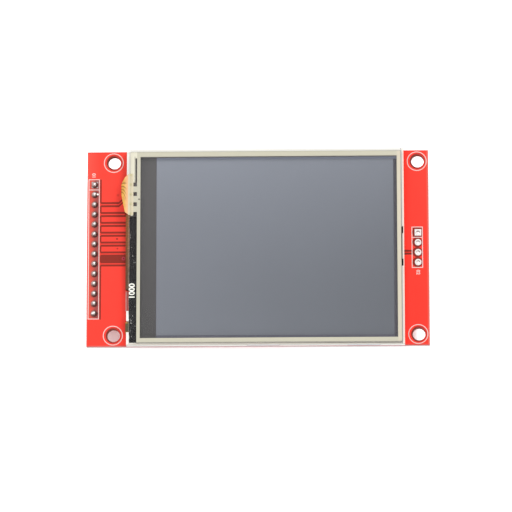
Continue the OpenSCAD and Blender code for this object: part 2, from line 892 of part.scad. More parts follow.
module socket_base() {
    half = base_w / 2;
    sill = 2;
    color("#202124") at_socket() difference() {
        union() {
            for (x = [-half, half - card_rail]) box([x, 0, 0], [x + card_rail, socket_d, inner_h]);
            box([-half, socket_d - rear_wall, 0], [half, socket_d, inner_h]);
            box([-half, socket_d - rear_wall - comb_d, 0], [half, socket_d, floor_t]);
            box([-half, 0, 0], [half, sill, floor_t]);
        }
        at_contacts() box([-comb_slot / 2, socket_d - rear_wall - comb_d + 1, -1],
            [comb_slot / 2, socket_d - rear_wall, floor_t + over]);
        at_contacts() box([-contact_w / 2, socket_d - rear_wall - over, -1],
            [contact_w / 2, socket_d + 1, contact_t]);
        box([half - card_rail, switch_y, -1],
            [half - switch_pocket, switch_y + foot_l, inner_h + 1]);
    }
}

// The slit around a spring tongue, centred on x
module tongue_cut(x) {
    y = socket_d / 2;
    difference() {
        box([x - tongue_w / 2 - tongue_slit, y, 0],
            [x + tongue_w / 2 + tongue_slit, y + tongue_l + tongue_slit, socket_h + 1]);
        box([x - tongue_w / 2, y - 1, 0], [x + tongue_w / 2, y + tongue_l, socket_h + 1]);
    }
}

// A stamped cover with folded sides, soldering feet, windows and two spring tongues
module socket_cover() {
    half = socket_w / 2;
    y_mid = socket_d / 2;
    y_slot = socket_d * 0.35;
    color("#c4c6c9") at_socket() difference() {
        union() {
            box([-half, cover_inset, inner_h], [half, socket_d, socket_h]);
            for (s = [0, 1]) mirror([s, 0, 0]) {
                box([half - cover_t, cover_inset, 0], [half, socket_d, socket_h]);
                for (y = [foot_inset, socket_d - foot_inset - foot_l])
                    box([half - cover_t, y, 0], [half + foot_w, y + foot_l, cover_t]);
            }
        }
        for (s = [0, 1]) mirror([s, 0, 0]) {
            tongue_cut(half * 0.55);
            translate([half * 0.6, peep_inset, 0]) cylinder(h = socket_h + 1, d = peep_d);
            box([half - 2 * cover_t, y_slot, inner_h * 0.4],
                [half + 1, y_slot + side_slot_l, inner_h * 0.75]);
        }
        box([-sight_w / 2, y_mid, 0], [sight_w / 2, y_mid + sight_l, socket_h + 1]);
    }
}

// Sprung card contacts, from a soldering tail through the rear wall to a raised tip
module socket_contacts() {
    y1 = socket_d - rear_wall;
    y0 = y1 - contact_reach;
    path = [[socket_d + contact_tail, contact_t / 2], [y1 - contact_root, contact_t / 2],
        [y0 + contact_dip + contact_flat, floor_t + contact_rise],
        [y0 + contact_dip, floor_t + contact_rise], [y0, floor_t + contact_rise / 2]];
    color("#d9b650") at_socket() at_contacts() drawn_x(strip(path, contact_t), contact_w);
}

// The card-detect contact, in its pocket in the side rail
module card_switch() {
    x0 = base_w / 2 - card_rail + contact_t;
    x1 = base_w / 2 - switch_pocket - contact_t / 2;
    y_hi = switch_y + foot_l - contact_t;
    path = [[x1, y_hi], [x1, switch_y + 2 * contact_t], [x0, switch_y + foot_l / 2], [x0, y_hi]];
    color("#d9b650") at_socket() linear_extrude(inner_h * 0.8) polygon(strip(path, contact_t));
}

// ---- Chips ----

// A moulded body with sloped sides, between height z0 and chip_h
module chip_body(l, w, z0) {
    inner = w / 2 - body_slope;
    mid = (z0 + chip_h) / 2;
    drawn_x([[-inner, z0], [inner, z0], [w / 2, mid - lead_t], [w / 2, mid + lead_t],
        [inner, chip_h], [-inner, chip_h], [-w / 2, mid + lead_t], [-w / 2, mid - lead_t]], l);
}

// A gull-wing lead that leaves a body of width w towards +Y
module gull_lead(w, lead_width) {
    mid = (standoff + chip_h) / 2;
    y0 = w / 2;
    y1 = y0 + lead_reach;
    drawn_x(strip([[y0, mid], [y0 + lead_foot / 2, mid], [y1 - lead_foot, lead_t / 2],
        [y1, lead_t / 2]], lead_t), lead_width);
}

module touch_controller() {
    color("#2a2b2e") on_rear() translate(chip_at) difference() {
        chip_body(chip_l, chip_w, standoff);
        translate([-chip_l / 2 + 0.8, -chip_w / 2 + 0.9, chip_h - 0.05]) cylinder(h = 1, d = 0.6);
    }
}

module controller_leads() {
    color("#c6c8cb") on_rear() translate(chip_at)
        for (i = [-3.5:3.5], s = [0, 1])
            translate([i * lead_pitch, 0, 0]) mirror([0, s, 0]) gull_lead(chip_w, lead_w);
}

module regulator() {
    color("#2a2b2e") on_rear() translate(regulator_at) chip_body(small_l, small_w, standoff);
}

module lamp_transistor() {
    color("#2a2b2e") on_rear() translate(transistor_at) chip_body(small_l, small_w, standoff);
}

// The three leads of each small package: two on one side and one on the other
module small_leads() {
    color("#c6c8cb") on_rear() for (p = [regulator_at, transistor_at]) translate(p) {
        for (x = [-1, 1]) translate([x * small_lead_x, 0, 0]) gull_lead(small_w, small_lead_w);
        mirror([0, 1, 0]) gull_lead(small_w, small_lead_w);
    }
}

// The middle of a chip resistor or capacitor
module passive_body(h) {
    translate([-passive_l / 2 + end_cap, -passive_w / 2, 0])
        cube([passive_l - 2 * end_cap, passive_w, h]);
}

module passive_caps(h) {
    for (s = [-1, 1]) translate([s * (passive_l - end_cap) / 2, 0, h / 2])
        cube([end_cap, passive_w, h], center = true);
}

module resistors() {
    color("#26272b") on_rear() for (p = resistor_at) translate(p) passive_body(resistor_h);
}

module capacitors() {
    color("#b48a5a") on_rear() for (p = capacitor_at) translate(p) passive_body(capacitor_h);
}

module passive_ends() {
    color("#d2d3d5") on_rear() {
        for (p = resistor_at) translate(p) passive_caps(resistor_h);
        for (p = capacitor_at) translate(p) passive_caps(capacitor_h);
    }
}

// The bare solder jumper behind the board: two lands side by side
module rear_lands() {
    color("#d8d4ce") on_rear() for (i = [1, 2])
        translate(concat(transistor_at + [small_l + i * (land_w + land_gap), 0], 0))
            translate([-land_w / 2, -land_l / 2, 0]) cube([land_w, land_l, plate_t]);
}

circuit_board();
front_legend();
rear_legend();
header_pads();
spare_pads();
rear_lands();
header_housing();
header_solder();
foam_strips();
steel_tray();
display_frame();
reflector_sheet();
light_guide();
diffuser_sheet();
lower_prism_sheet();
upper_prism_sheet();
lamp_flex();
lamps();
rim_tape();
rear_polariser();
lower_glass();
upper_glass();
front_polariser();
driver_chip();
display_flex();
shield_tape();
side_tape();
touch_gasket();
touch_glass();
touch_border();
touch_film();
touch_flex();
socket_base();
socket_cover();
socket_contacts();
card_switch();
touch_controller();
controller_leads();
regulator();
lamp_transistor();
small_leads();
resistors();
capacitors();
passive_ends();
for (i = [0:header_count - 1])
    translate([header_x, row_y(i, header_count), 0]) header_pin();
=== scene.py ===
"""Finishes for a TFT display module: a touch-screen panel on a red breakout board.

Each operator dresses one group of pieces. The sizes and places come from the solid model.
"""

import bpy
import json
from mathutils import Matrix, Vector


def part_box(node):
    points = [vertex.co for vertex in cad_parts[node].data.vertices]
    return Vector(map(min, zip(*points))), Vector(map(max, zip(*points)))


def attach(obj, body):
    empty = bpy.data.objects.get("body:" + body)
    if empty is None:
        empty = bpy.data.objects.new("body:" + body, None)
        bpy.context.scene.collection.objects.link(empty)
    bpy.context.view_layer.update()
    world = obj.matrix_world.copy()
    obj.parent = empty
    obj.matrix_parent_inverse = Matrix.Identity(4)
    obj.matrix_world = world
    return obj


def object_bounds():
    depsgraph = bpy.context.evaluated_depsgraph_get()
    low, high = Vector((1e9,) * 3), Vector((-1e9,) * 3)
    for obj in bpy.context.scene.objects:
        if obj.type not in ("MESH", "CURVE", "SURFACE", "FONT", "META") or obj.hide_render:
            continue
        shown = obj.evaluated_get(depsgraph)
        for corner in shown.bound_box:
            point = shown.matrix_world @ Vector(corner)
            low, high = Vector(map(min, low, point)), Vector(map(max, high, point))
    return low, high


bl_info = {
    "name": "Display Module Finishes",
    "version": (1, 0, 0),
    "blender": (4, 5, 0),
    "location": "3D View > Sidebar > Display Module",
    "description": "Builds the finishes and small details of a display module",
    "category": "Object",
}

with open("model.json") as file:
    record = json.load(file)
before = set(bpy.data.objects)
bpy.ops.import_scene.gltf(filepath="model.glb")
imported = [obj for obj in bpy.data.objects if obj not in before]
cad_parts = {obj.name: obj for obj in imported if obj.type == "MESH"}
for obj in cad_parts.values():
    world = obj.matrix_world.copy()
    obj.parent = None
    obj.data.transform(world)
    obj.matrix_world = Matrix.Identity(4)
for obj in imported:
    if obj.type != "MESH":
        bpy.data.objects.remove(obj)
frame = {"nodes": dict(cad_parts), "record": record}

import json
import math
import random

import bmesh
import bpy
from bpy.props import FloatProperty, FloatVectorProperty, PointerProperty
from mathutils import Matrix, Vector

NODES = frame["nodes"]
CAD_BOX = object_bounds()
MM = 0.001
SEED = 7
TEAR_STEPS = 110
LINT_COUNT = 16
GLINT = (1.0, 0.98, 0.94)


def linear(red, green, blue):
    """The linear colour of a display colour given in 0 to 255."""
    def channel(value):
        value /= 255
        return value / 12.92 if value <= 0.04045 else ((value + 0.055) / 1.055) ** 2.4
    return (channel(red), channel(green), channel(blue))


def shade(color, *factors):
    """A colour with its channels multiplied, all by one factor or each by its own."""
    if len(factors) == 1:
        factors *= 3
    return tuple(channel * factor for channel, factor in zip(color, factors))


def box_mm(node):
    """The lowest and highest corner of a solid, in millimetres."""
    low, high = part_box(node)
    return Vector(low) / MM, Vector(high) / MM


# ---- Places, in millimetres, from the solid model ----

BOARD_LOW, BOARD_HIGH = box_mm("circuit_board")
FRAME_LOW, FRAME_HIGH = box_mm("display_frame")
TOUCH_LOW, TOUCH_HIGH = box_mm("touch_film")
SOCKET_LOW, SOCKET_HIGH = box_mm("socket_cover")
PIN_NAMES = sorted(name for name in NODES if name.startswith("header_pin_"))
PIN_Y = [sum(corner.y for corner in box_mm(name)) / 2 for name in PIN_NAMES]
PIN_X = sum(corner.x for corner in box_mm(PIN_NAMES[0])) / 2
PITCH = PIN_Y[0] - PIN_Y[1]
SPARE_LOW, SPARE_HIGH = box_mm("spare_pads")
SPARE_X = (SPARE_LOW.x + SPARE_HIGH.x) / 2
PAD_D = SPARE_HIGH.x - SPARE_LOW.x
SPARE_TOP_Y = SPARE_HIGH.y - PAD_D / 2
GLASS_LOW, GLASS_HIGH = box_mm("touch_glass")
TAPE_LOW, TAPE_HIGH = box_mm("shield_tape")
BOLTS = next(m for m in frame["record"]["mounts"] if m["kind"] == "bolt_pattern")["dims"]
HOLE_X, HOLE_Y = BOLTS["spacing_x_mm"] / 2, BOLTS["spacing_y_mm"] / 2
HOLE_R = BOLTS["hole_r_mm"]
TRACKS_START, TRACKS_END = PIN_X + 1.55, FRAME_LOW.x + 1.2
PICTURE_LOW = (FRAME_LOW.x + 7.51, FRAME_LOW.y + 2.35)
PICTURE_HIGH = (FRAME_HIGH.x - 2.63, FRAME_HIGH.y - 2.8)
RAMP_WIDTH = 60


def pin_y(number):
    """Height of a header pin across the board, also for a place between two pins."""
    return PIN_Y[0] - (number - 1) * PITCH


# ---- Shader maths ----


class Value:
    """A number that varies over a surface. Python's operators add the nodes that work on it."""

    def __init__(self, surface, socket):
        self.surface = surface
        self.socket = socket

    def math(self, operation, *others, clamp=False):
        node = self.surface.tree.nodes.new("ShaderNodeMath")
        node.operation = operation
        node.use_clamp = clamp
        for place, item in enumerate((self, *others)):
            if isinstance(item, Value):
                self.surface.tree.links.new(item.socket, node.inputs[place])
            else:
                node.inputs[place].default_value = item
        return Value(self.surface, node.outputs[0])

    def __add__(self, other):
        return self.math("ADD", other)

    def __sub__(self, other):
        return self.math("SUBTRACT", other)

    def __rsub__(self, other):
        return self.math("MULTIPLY", -1) + other

    def __mul__(self, other):
        return self.math("MULTIPLY", other)

    def __truediv__(self, other):
        return self.math("DIVIDE", other)

    def __abs__(self):
        return self.math("ABSOLUTE")

    def either(self, *others):
        """The greatest of this value and the others."""
        value = self
        for other in others:
            value = value.math("MAXIMUM", other)
        return value

    def both(self, other):
        """The smaller of this value and another."""
        return self.math("MINIMUM", other)

    def over(self, edge, soft=0.03):
        """1 where the value is over an edge and 0 under it, with a soft step between."""
        return ((self - edge) / soft).math("ADD", 0.5, clamp=True)

    def under(self, edge, soft=0.03):
        """1 where the value is under an edge and 0 over it, with a soft step between."""
        return 1 - self.over(edge, soft)

    def between(self, low, high, soft=0.03):
        """1 between two edges, worked out from the distance to the middle."""
        return abs(self - (low + high) / 2).under((high - low) / 2, soft)

    def repeat(self, step):
        """Distance to the nearest multiple of a step."""
        return self.math("PINGPONG", step / 2)


def length(x, y):
    """Distance from the point where both values are 0."""
    return (x * x + y * y).math("SQRT")


class Surface:
    """A material built from nodes around one Principled shader."""

    def __init__(self, name, color, **sockets):
        self.material = bpy.data.materials.new(name)
        self.material.use_nodes = True
        self.tree = self.material.node_tree
        self.tree.nodes.clear()
        output = self.tree.nodes.new("ShaderNodeOutputMaterial")
        self.shader = self.tree.nodes.new("ShaderNodeBsdfPrincipled")
        self.tree.links.new(self.shader.outputs[0], output.inputs["Surface"])
        self.material.diffuse_color = (*color, 1)
        self.feed("Base Color", tuple(color))
        for key, value in sockets.items():
            self.feed(key.replace("_", " ").title().replace("Ior", "IOR"), value)
        self.coords = self.node("ShaderNodeTexCoord")
        scaled = self.node("ShaderNodeVectorMath",
                           {0: self.coords.outputs["Object"], "Scale": 1 / MM}, operation="SCALE")
        self.point = scaled.outputs[0]
        self.x, self.y, self.z = self.split(self.point)

    def node(self, kind, inputs=None, **settings):
        """Adds any node: first its settings, then the values or links of its sockets."""
        node = self.tree.nodes.new(kind)
        for key, value in settings.items():
            setattr(node, key, value)
        for key, value in (inputs or {}).items():
            self.connect(node.inputs[key], value)
        return node

    def connect(self, socket, value):
        """Gives a socket a value, or a link to another socket."""
        if isinstance(value, Value):
            value = value.socket
        if isinstance(value, bpy.types.NodeSocket):
            self.tree.links.new(value, socket)
        elif isinstance(value, (tuple, Vector)) and len(value) == 3 and socket.type == "RGBA":
            socket.default_value = (*value, 1)
        else:
            socket.default_value = value

    def feed(self, socket, value):
        """Gives one of the shader's own sockets a value or a link."""
        self.connect(self.shader.inputs[socket], value)

    def split(self, vector):
        """The three values of a vector."""
        parts = self.node("ShaderNodeSeparateXYZ", {0: vector}).outputs
        return [Value(self, part) for part in parts]

    def facing(self):
        """How far the surface faces front, from -1 at the rear to 1 at the front."""
        return self.split(self.coords.outputs["Normal"])[2]

    def facing_front(self):
        """1 where the surface faces front."""
        return self.facing().over(0.5, 0.1)

    def facing_aside(self):
        """1 where the surface faces neither front nor rear."""
        return abs(self.facing()).under(0.5, 0.1)

    def facing_down(self):
        """1 where the surface faces the board's lower edge."""
        return (self.split(self.coords.outputs["Normal"])[1] * -1).over(0.5, 0.1)

    def noise(self, size, detail=2, stretch=(1, 1, 1)):
        """Soft random mottle whose spots are about size millimetres across."""
        scaled = self.node("ShaderNodeVectorMath",
                           {0: self.point, 1: tuple(part / size for part in stretch)},
                           operation="MULTIPLY")
        texture = self.node("ShaderNodeTexNoise",
                            {"Vector": scaled.outputs[0], "Scale": 1, "Detail": detail})
        return Value(self, texture.outputs["Fac"])

    def mix(self, mask, first, second):
        """The first colour where the mask is 0, and the second where it is 1."""
        node = self.node("ShaderNodeMix", {0: mask, 6: first, 7: second}, data_type="RGBA")
        return node.outputs[2]

    def bump(self, height, distance, strength=1):
        """Bumps whose greatest height is a distance in millimetres."""
        node = self.node("ShaderNodeBump", {"Height": height, "Distance": distance * MM,
                                            "Strength": strength})
        self.feed("Normal", node.outputs[0])

    def rect(self, low_x, low_y, high_x, high_y, soft=0.03):
        """1 inside a rectangle on the board."""
        return self.x.between(low_x, high_x, soft) * self.y.between(low_y, high_y, soft)

    def distance(self, x, y):
        """Distance from a point on the board, in millimetres."""
        return length(self.x - x, self.y - y)

    def near_hole(self):
        """Distance from the centre of the nearest mounting hole."""
        return length(abs(self.x) - HOLE_X, abs(self.y) - HOLE_Y)

    def above_pin(self):
        """Distance up the board from the nearest header pin, less than 0 below it."""
        return (self.y - PIN_Y[0]).math("WRAP", PITCH / 2, -PITCH / 2)

    def rising(self):
        """A ramp across the module, from 0 at its left to 1 at its right."""
        return (self.x / RAMP_WIDTH).math("ADD", 0.5, clamp=True)


def dress(surface, *nodes):
    """Gives a finish to one or more solids of the model, or to new pieces."""
    for node in nodes:
        piece = NODES[node] if isinstance(node, str) else node
        piece.data.materials.clear()
        piece.data.materials.append(surface.material)


def add_object(name, mesh, surface):
    """Makes an object with a finish from a bmesh, which it frees."""
    data = bpy.data.meshes.new(name)
    mesh.to_mesh(data)
    mesh.free()
    piece = bpy.data.objects.new(name, data)
    bpy.context.scene.collection.objects.link(piece)
    dress(surface, piece)
    return piece


def settle(name, mesh, surface, smooth=False):
    """Makes an object from a bmesh in millimetres, finishes it and fixes it to the module."""
    mesh.transform(Matrix.Scale(MM, 4))
    piece = add_object(name, mesh, surface)
    for polygon in piece.data.polygons:
        polygon.use_smooth = smooth
    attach(piece, "root")


def add_blob(mesh, centre, radii, turn=0.0, subdivisions=2):
    """Adds an ellipsoid to a bmesh, turned about the board's normal."""
    matrix = (Matrix.Translation(centre) @ Matrix.Rotation(turn, 4, "Z")
              @ Matrix.Diagonal((*radii, 1)))
    bmesh.ops.create_icosphere(mesh, subdivisions=subdivisions, radius=1, matrix=matrix)


def mark(name, text, size, place, thick, surface):
    """Plain raised numbers that read down the board, centred on a place in millimetres."""
    curve = bpy.data.curves.new(name, "FONT")
    curve.body = text
    curve.size = size
    curve.offset = size * 0.025
    curve.extrude = thick / 2
    curve.align_x = "CENTER"
    curve.align_y = "CENTER"
    written = bpy.data.objects.new(name, curve)
    data = bpy.data.meshes.new_from_object(written)
    mesh = bmesh.new()
    mesh.from_mesh(data)
    bpy.data.objects.remove(written)
    bpy.data.meshes.remove(data)
    bpy.data.curves.remove(curve)
    centre = Matrix.Translation((place[0], place[1], place[2] + thick / 2))
    mesh.transform(centre @ Matrix.Rotation(-math.pi / 2, 4, "Z"))
    settle(name, mesh, surface)


def islands(node):
    """The corners of each separate piece of a node, in millimetres."""
    mesh = bmesh.new()
    mesh.from_mesh(NODES[node].data)
    waiting = set(mesh.verts)
    found = []
    while waiting:
        reached = [waiting.pop()]
        points = []
        while reached:
            vertex = reached.pop()
            points.append(vertex.co / MM)
            for edge in vertex.link_edges:
                other = edge.other_vert(vertex)
                if other in waiting:
                    waiting.remove(other)
                    reached.append(other)
        found.append((Vector(map(min, *points)), Vector(map(max, *points))))
    mesh.free()
    return found


# ---- Sizes and colours that a user would change ----


def color_input(name, description, *default):
    """A colour that a user can change, with channels from 0 to 1."""
    return FloatVectorProperty(name=name, description=description, size=3, subtype="COLOR",
                               min=0, max=1, default=default)


class BoardLook(bpy.types.PropertyGroup):
    """Colours of the circuit board and its print."""

    mask: color_input("Mask over copper", "Red lacquer where copper lies under it",
                      0.74, 0.046, 0.031)
    bare: color_input("Mask over laminate", "Red lacquer where the copper is etched away",
                      0.20, 0.020, 0.0125)
    laminate: color_input("Laminate", "Glass-fibre laminate at the board's edges",
                          0.52, 0.42, 0.42)
    ink: color_input("Print", "White printed lines",
                     0.62, 0.47, 0.44)
    gap: FloatProperty(
        name="Track gap", description="Width of the etched gap beside a track, in millimetres",
        min=0.1, max=0.8, default=0.51)
    track: FloatProperty(
        name="Track",
        description="Distance between the gaps on both sides of a track, in millimetres",
        min=0.3, max=1.2, default=0.8)


class DisplayLook(bpy.types.PropertyGroup):
    """Colours of the display panel and its touch screen."""

    moulding: color_input("Frame", "White moulded frame",
                          0.74, 0.73, 0.70)
    border: color_input("Border", "Cream border of the touch panel",
                        0.43, 0.41, 0.325)
    picture: color_input("Picture area", "Unlit picture area",
                         0.190, 0.206, 0.243)
    margin: color_input("Margin", "Black margin round the picture area, under the polariser",
                        0.068, 0.065, 0.068)
    tape: color_input("Tape", "Black light-shield tape",
                      0.004, 0.0035, 0.005)
    haze: FloatProperty(
        name="Film haze", description="How much the touch film veils what lies under it",
        min=0, max=0.6, default=0.008)


class MetalLook(bpy.types.PropertyGroup):
    """Colours of the metals and the amber tails."""

    solder: color_input("Solder", "Bright solder joints",
                        0.40, 0.32, 0.31)
    tin: color_input("Tinned copper", "Tinned pads, leads and end caps",
                     0.82, 0.80, 0.77)
    gilt: color_input("Gilt pins", "Gold-plated pins and contacts",
                      0.80, 0.58, 0.25)
    steel: color_input("Sheet steel", "Tray and socket cover",
                       0.62, 0.62, 0.63)
    amber: color_input("Tail film", "Amber polyimide of the tails",
                       0.66, 0.32, 0.075)


class StageLook(bpy.types.PropertyGroup):
    """The camera, the floor and the lights."""

    camera_place: FloatVectorProperty(
        name="Camera place", description="Place of the camera, in metres",
        size=3, subtype="TRANSLATION", default=(0.0209, -0.2043, 0.989))
    camera_turn: FloatVectorProperty(
        name="Camera turn", description="Turns of the camera about X, Y and Z, in degrees",
        size=3, default=(11.56, 1.33, -0.34))
    lens: FloatProperty(
        name="Lens", description="Focal length of the camera, in millimetres",
        min=20, max=500, default=282.65)
    key_power: FloatProperty(
        name="Key light", description="Power of the soft light at the upper right, in watts",
        min=0, max=200, default=6)
    fill_power: FloatProperty(
        name="Fill lights", description="Power of each light on the other sides, in watts",
        min=0, max=200, default=2.6)
    table: FloatProperty(
        name="Table light", description="Strength of the light from the table itself",
        min=0, max=2, default=0.5)
    sky: FloatProperty(
        name="Room light", description="Strength of the even light from all sides",
        min=0, max=5, default=0.5)


# ---- Finishes ----


def plain_plastic(name, color, roughness, grain=0.15, coat=0.0):
    """Moulded plastic: a fine grain in its gloss and its bump."""
    s = Surface(name, color, roughness=roughness, coat_weight=coat)
    mottle = s.noise(grain, 3)
    s.feed("Roughness", mottle * 0.16 + (roughness - 0.08))
    s.feed("Base Color", s.mix(s.noise(3).over(0.5, 0.5), shade(color, 0.9), color))
    s.bump(mottle, 0.006, 0.6)
    return s


def bright_metal(name, color, roughness, brushed=(1, 1, 1), grain=0.25):
    """Metal with a mottled or brushed gloss."""
    s = Surface(name, color, metallic=1.0, roughness=roughness)
    mottle = s.noise(grain, 4, brushed)
    s.feed("Roughness", mottle * 0.3 + (roughness - 0.12))
    s.feed("Base Color", s.mix(mottle.over(0.45, 0.5), shade(color, 0.75), color))
    s.bump(mottle, 0.01, 0.5)
    return s


def print_finish(look):
    """White print: matt, a little uneven, with the lacquer's red showing through thin spots."""
    s = Surface("white_print", look.ink, roughness=0.55)
    thin = s.noise(0.3, 3).over(0.62, 0.3)
    s.feed("Base Color", s.mix(thin * 0.4, look.ink[:], look.mask[:]))
    return s


def track_gap(look, distance, thick=1.0):
    """1 in the etched gap beside a track, from the distance to the middle of the gap."""
    return abs(distance).under(look.gap * thick / 2, 0.12)


def front_etching(s, look):
    """1 on the front where the copper is etched away, and less where that shows faintly."""
    half = look.track / 2

    def near(x, y, radius, soft=0.1):
        return s.distance(x, y).under(radius, soft)

    # Tracks from the header to the display, the third with a bend
    rows = (s.y - PIN_Y[0]).repeat(PITCH)
    gaps = track_gap(look, rows - half) * s.rect(TRACKS_START, pin_y(9.45), TRACKS_END, pin_y(3.6))
    bend = (s.x - (TRACKS_START + 4.55)).either(0).both(0.95)
    third = track_gap(look, abs(s.y - bend - pin_y(3)) - half)
    third = third * s.x.between(TRACKS_START, TRACKS_END)
    widened = near(TRACKS_END - 1.3, pin_y(4), 0.55) * 0.9
    block = s.rect(TRACKS_START, pin_y(8.86), TRACKS_END, pin_y(8.09))

    # A strip beside the header's box, crossed by the tracks
    strip = s.rect(PIN_X + 1.28, pin_y(14.6), PIN_X + 1.72, pin_y(0.45), 0.1)
    crossing = rows.under(half, 0.1) * s.y.between(pin_y(9.2), pin_y(2.6))
    strip = strip * (1 - crossing * 0.85) * 0.94

    # A track to the empty header, and the gaps round its pads, the first of them square
    spare = track_gap(look, abs(s.y - (SPARE_TOP_Y - 2 * PITCH)) - half * 0.9)
    spare = spare * s.x.between(FRAME_HIGH.x, SPARE_X - 1.6)
    pads = length(s.x - (SPARE_X - 0.16), (s.y - SPARE_TOP_Y).repeat(PITCH)).under(1.3, 0.12)
    pads = pads * s.y.between(SPARE_TOP_Y - 3.5 * PITCH, SPARE_TOP_Y + PITCH / 2)
    square = s.rect(SPARE_X - 1.3, SPARE_TOP_Y - 1.15, SPARE_X + 1.05, SPARE_TOP_Y + 1.2, 0.1)

    # Plated holes under the lacquer, and the upper rim
    vias = near(TRACKS_START + 4.1, pin_y(6.48), 0.24, 0.14)
    vias = vias.either(near(TRACKS_START + 4.2, pin_y(7.46), 0.22, 0.16) * 0.8,
                       near(TRACKS_START + 4.3, pin_y(2.05), 0.3, 0.3) * 0.35)
    rim = (BOARD_HIGH.y - s.y).under(0.3, 0.15) * 0.3
    return gaps.either(third, widened, block, spare, strip, vias, pads, square, rim)


def rear_etching(s, look):
    """1 on the rear where the copper is etched away."""
    half = look.track / 2
    rings = length(s.x - PIN_X, (s.y - PIN_Y[0]).repeat(PITCH)).between(0.85, 1.15, 0.1)
    rings = rings * s.y.between(pin_y(14.5), pin_y(0.5))

    # Nested tracks from the header's pins, each turning away from the middle
    step, last_x = 1.9, PIN_X + 26
    last = (len(PIN_Y) - 1) / 2
    from_middle = abs(s.y - (PIN_Y[0] + PIN_Y[-1]) / 2)
    row = ((from_middle / PITCH - 0.5).math("ROUND") + 0.5).both(last)
    column = (((last_x - s.x) / step - 0.5).math("ROUND") + 0.5).both(last).either(0.5)
    level = abs(from_middle - row * PITCH).either(s.x - (last_x - row * step), PIN_X + 1 - s.x)
    off_line = abs(s.x - (last_x - column * step))
    turn_end = column * (PITCH + 0.35) + 3
    rising = off_line.either(column * PITCH - from_middle, from_middle - turn_end)
    end_hole = off_line.either(abs(from_middle - turn_end)).under(0.22, 0.08)
    route = track_gap(look, level.both(rising) - half, 0.6).either(end_hole)
    route = route * s.x.over(PIN_X + 0.8)

    # Short tracks from the card socket's contacts
    middle_x = (SOCKET_LOW.x + SOCKET_HIGH.x) / 2
    start_y, stop_y = SOCKET_HIGH.y, SOCKET_HIGH.y + 7.5
    aside = (s.x - middle_x).repeat(2.5)
    end_hole = aside.either(abs(s.y - stop_y)).under(0.22, 0.08)
    bundle = track_gap(look, aside.either(s.y - stop_y) - half, 0.6).either(end_hole)
    bundle = bundle * s.rect(middle_x - 11.2, start_y, middle_x + 11.2, stop_y + 1)
    return rings.either(route, bundle)


def lacquer_color(s, look, upright):
    """The lacquer over copper, with painted shade that darkens it toward the lower right and
    painted light that makes it brightest beside the display.
    """
    across = (s.x - BOARD_LOW.x) / (BOARD_HIGH.x - BOARD_LOW.x)
    down = (BOARD_HIGH.y - s.y) / (BOARD_HIGH.y - BOARD_LOW.y)
    # Painted shade: darker toward the lower right
    painted_falloff = (across * 0.65 + down).math("SUBTRACT", 0.4, clamp=True)
    lacquer = s.mix(painted_falloff, look.mask[:], shade(look.mask, 1, 0.77, 0.72))
    lacquer = s.mix(s.noise(2.5).over(0.5, 0.6) * 0.1, lacquer, look.bare[:])
    corner = (s.x - BOARD_LOW.x).under(1.5, 3) * s.y.over(12, 12) * upright
    lacquer = s.mix(corner * 0.6, lacquer, (0.76, 0.085, 0.063))
    # Painted light on the lacquer beside the display
    painted_strip_beside = (s.x - FRAME_HIGH.x).under(1.6, 2.4) * s.x.over(0, 1)
    return s.mix(painted_strip_beside * upright, lacquer, (0.95, 0.040, 0.026))


def board_finish(look):
    """Red lacquer with the tracks' etched gaps on both faces, and bare laminate at the edges."""
    s = Surface("red_board", look.mask, roughness=0.4, specular_ior_level=0.12)
    facing, from_hole = s.facing(), s.near_hole()
    flat = abs(facing).over(0.5, 0.1)
    upright, inverted = facing.over(0.5, 0.1), facing.under(-0.5, 0.1)
    ring = from_hole.under(HOLE_R + 0.58, 0.06) * 0.16
    etched = (front_etching(s, look).either(ring) * upright
              + rear_etching(s, look).either(ring) * inverted)
    faces = s.mix(etched, lacquer_color(s, look, upright), look.bare[:])

    # Painted shade inside the header's box, blotchy, most at its right and round the pins
    dx = s.x - PIN_X
    box = s.rect(PIN_X - 1.45, pin_y(14.5), PIN_X + 1.05, pin_y(0.5), 0.1)
    from_pin = length(dx, (s.y - PIN_Y[0]).repeat(PITCH))
    header_shade = box * (s.noise(0.9, 3).over(0.5, 0.35) * 0.3 + dx.over(0.1, 0.6) * 0.55
                  + from_pin.under(1.15, 0.3) * 0.35 + 0.2)
    header_shade_color = s.mix(dx.over(-0.1, 1.0), (0.44, 0.082, 0.058), (0.26, 0.055, 0.050))
    faces = s.mix(box.either(header_shade) * (header_shade + 0.25).both(1) * upright, faces, header_shade_color)

    # The left, right and lower rims, and a plated hole in the block of copper
    from_via = s.distance(TRACKS_END - 2.1, pin_y(8.47))
    for mask, color in (
            ((s.x - BOARD_LOW.x).under(0.25, 0.15) * 0.16, (0.62, 0.26, 0.24)),
            ((BOARD_HIGH.x - s.x).under(0.4, 0.3), (0.55, 0.108, 0.085)),
            ((s.y - BOARD_LOW.y).under(0.35, 0.2) * 0.7, (0.42, 0.085, 0.070)),
            (from_via.under(0.45, 0.1), (0.42, 0.035, 0.06)),
            (from_via.under(0.2, 0.1), (0.10, 0.008, 0.012))):
        faces = s.mix(mask * upright, faces, color)

    # Dark rims of the mounting holes, with painted shade that makes them darkest at their left
    left_of_hole = s.x.math("SIGN") * HOLE_X - s.x
    dark_rim = from_hole.under(HOLE_R + 0.38, 0.12) * (left_of_hole.over(-0.3, 2.4) * 0.6 + 0.4)
    faces = s.mix(dark_rim, faces, (0.17, 0.026, 0.018))

    # Edges: laminate with faint layers, dark inside the holes
    fibre = s.z.repeat(0.2).over(0.06, 0.05) * 0.5 + s.noise(0.12, 3) * 0.5
    edge = s.mix(fibre, shade(look.laminate, 0.8), look.laminate[:])
    edge = s.mix(from_hole.under(HOLE_R + 0.2), edge, (0.20, 0.042, 0.028))
    s.feed("Base Color", s.mix(flat, edge, faces))
    s.feed("Roughness", (1 - flat) * 0.4 + 0.35)
    s.bump((1 - etched) * 0.035 + s.noise(2.5) * 0.004, 1.0)
    return s


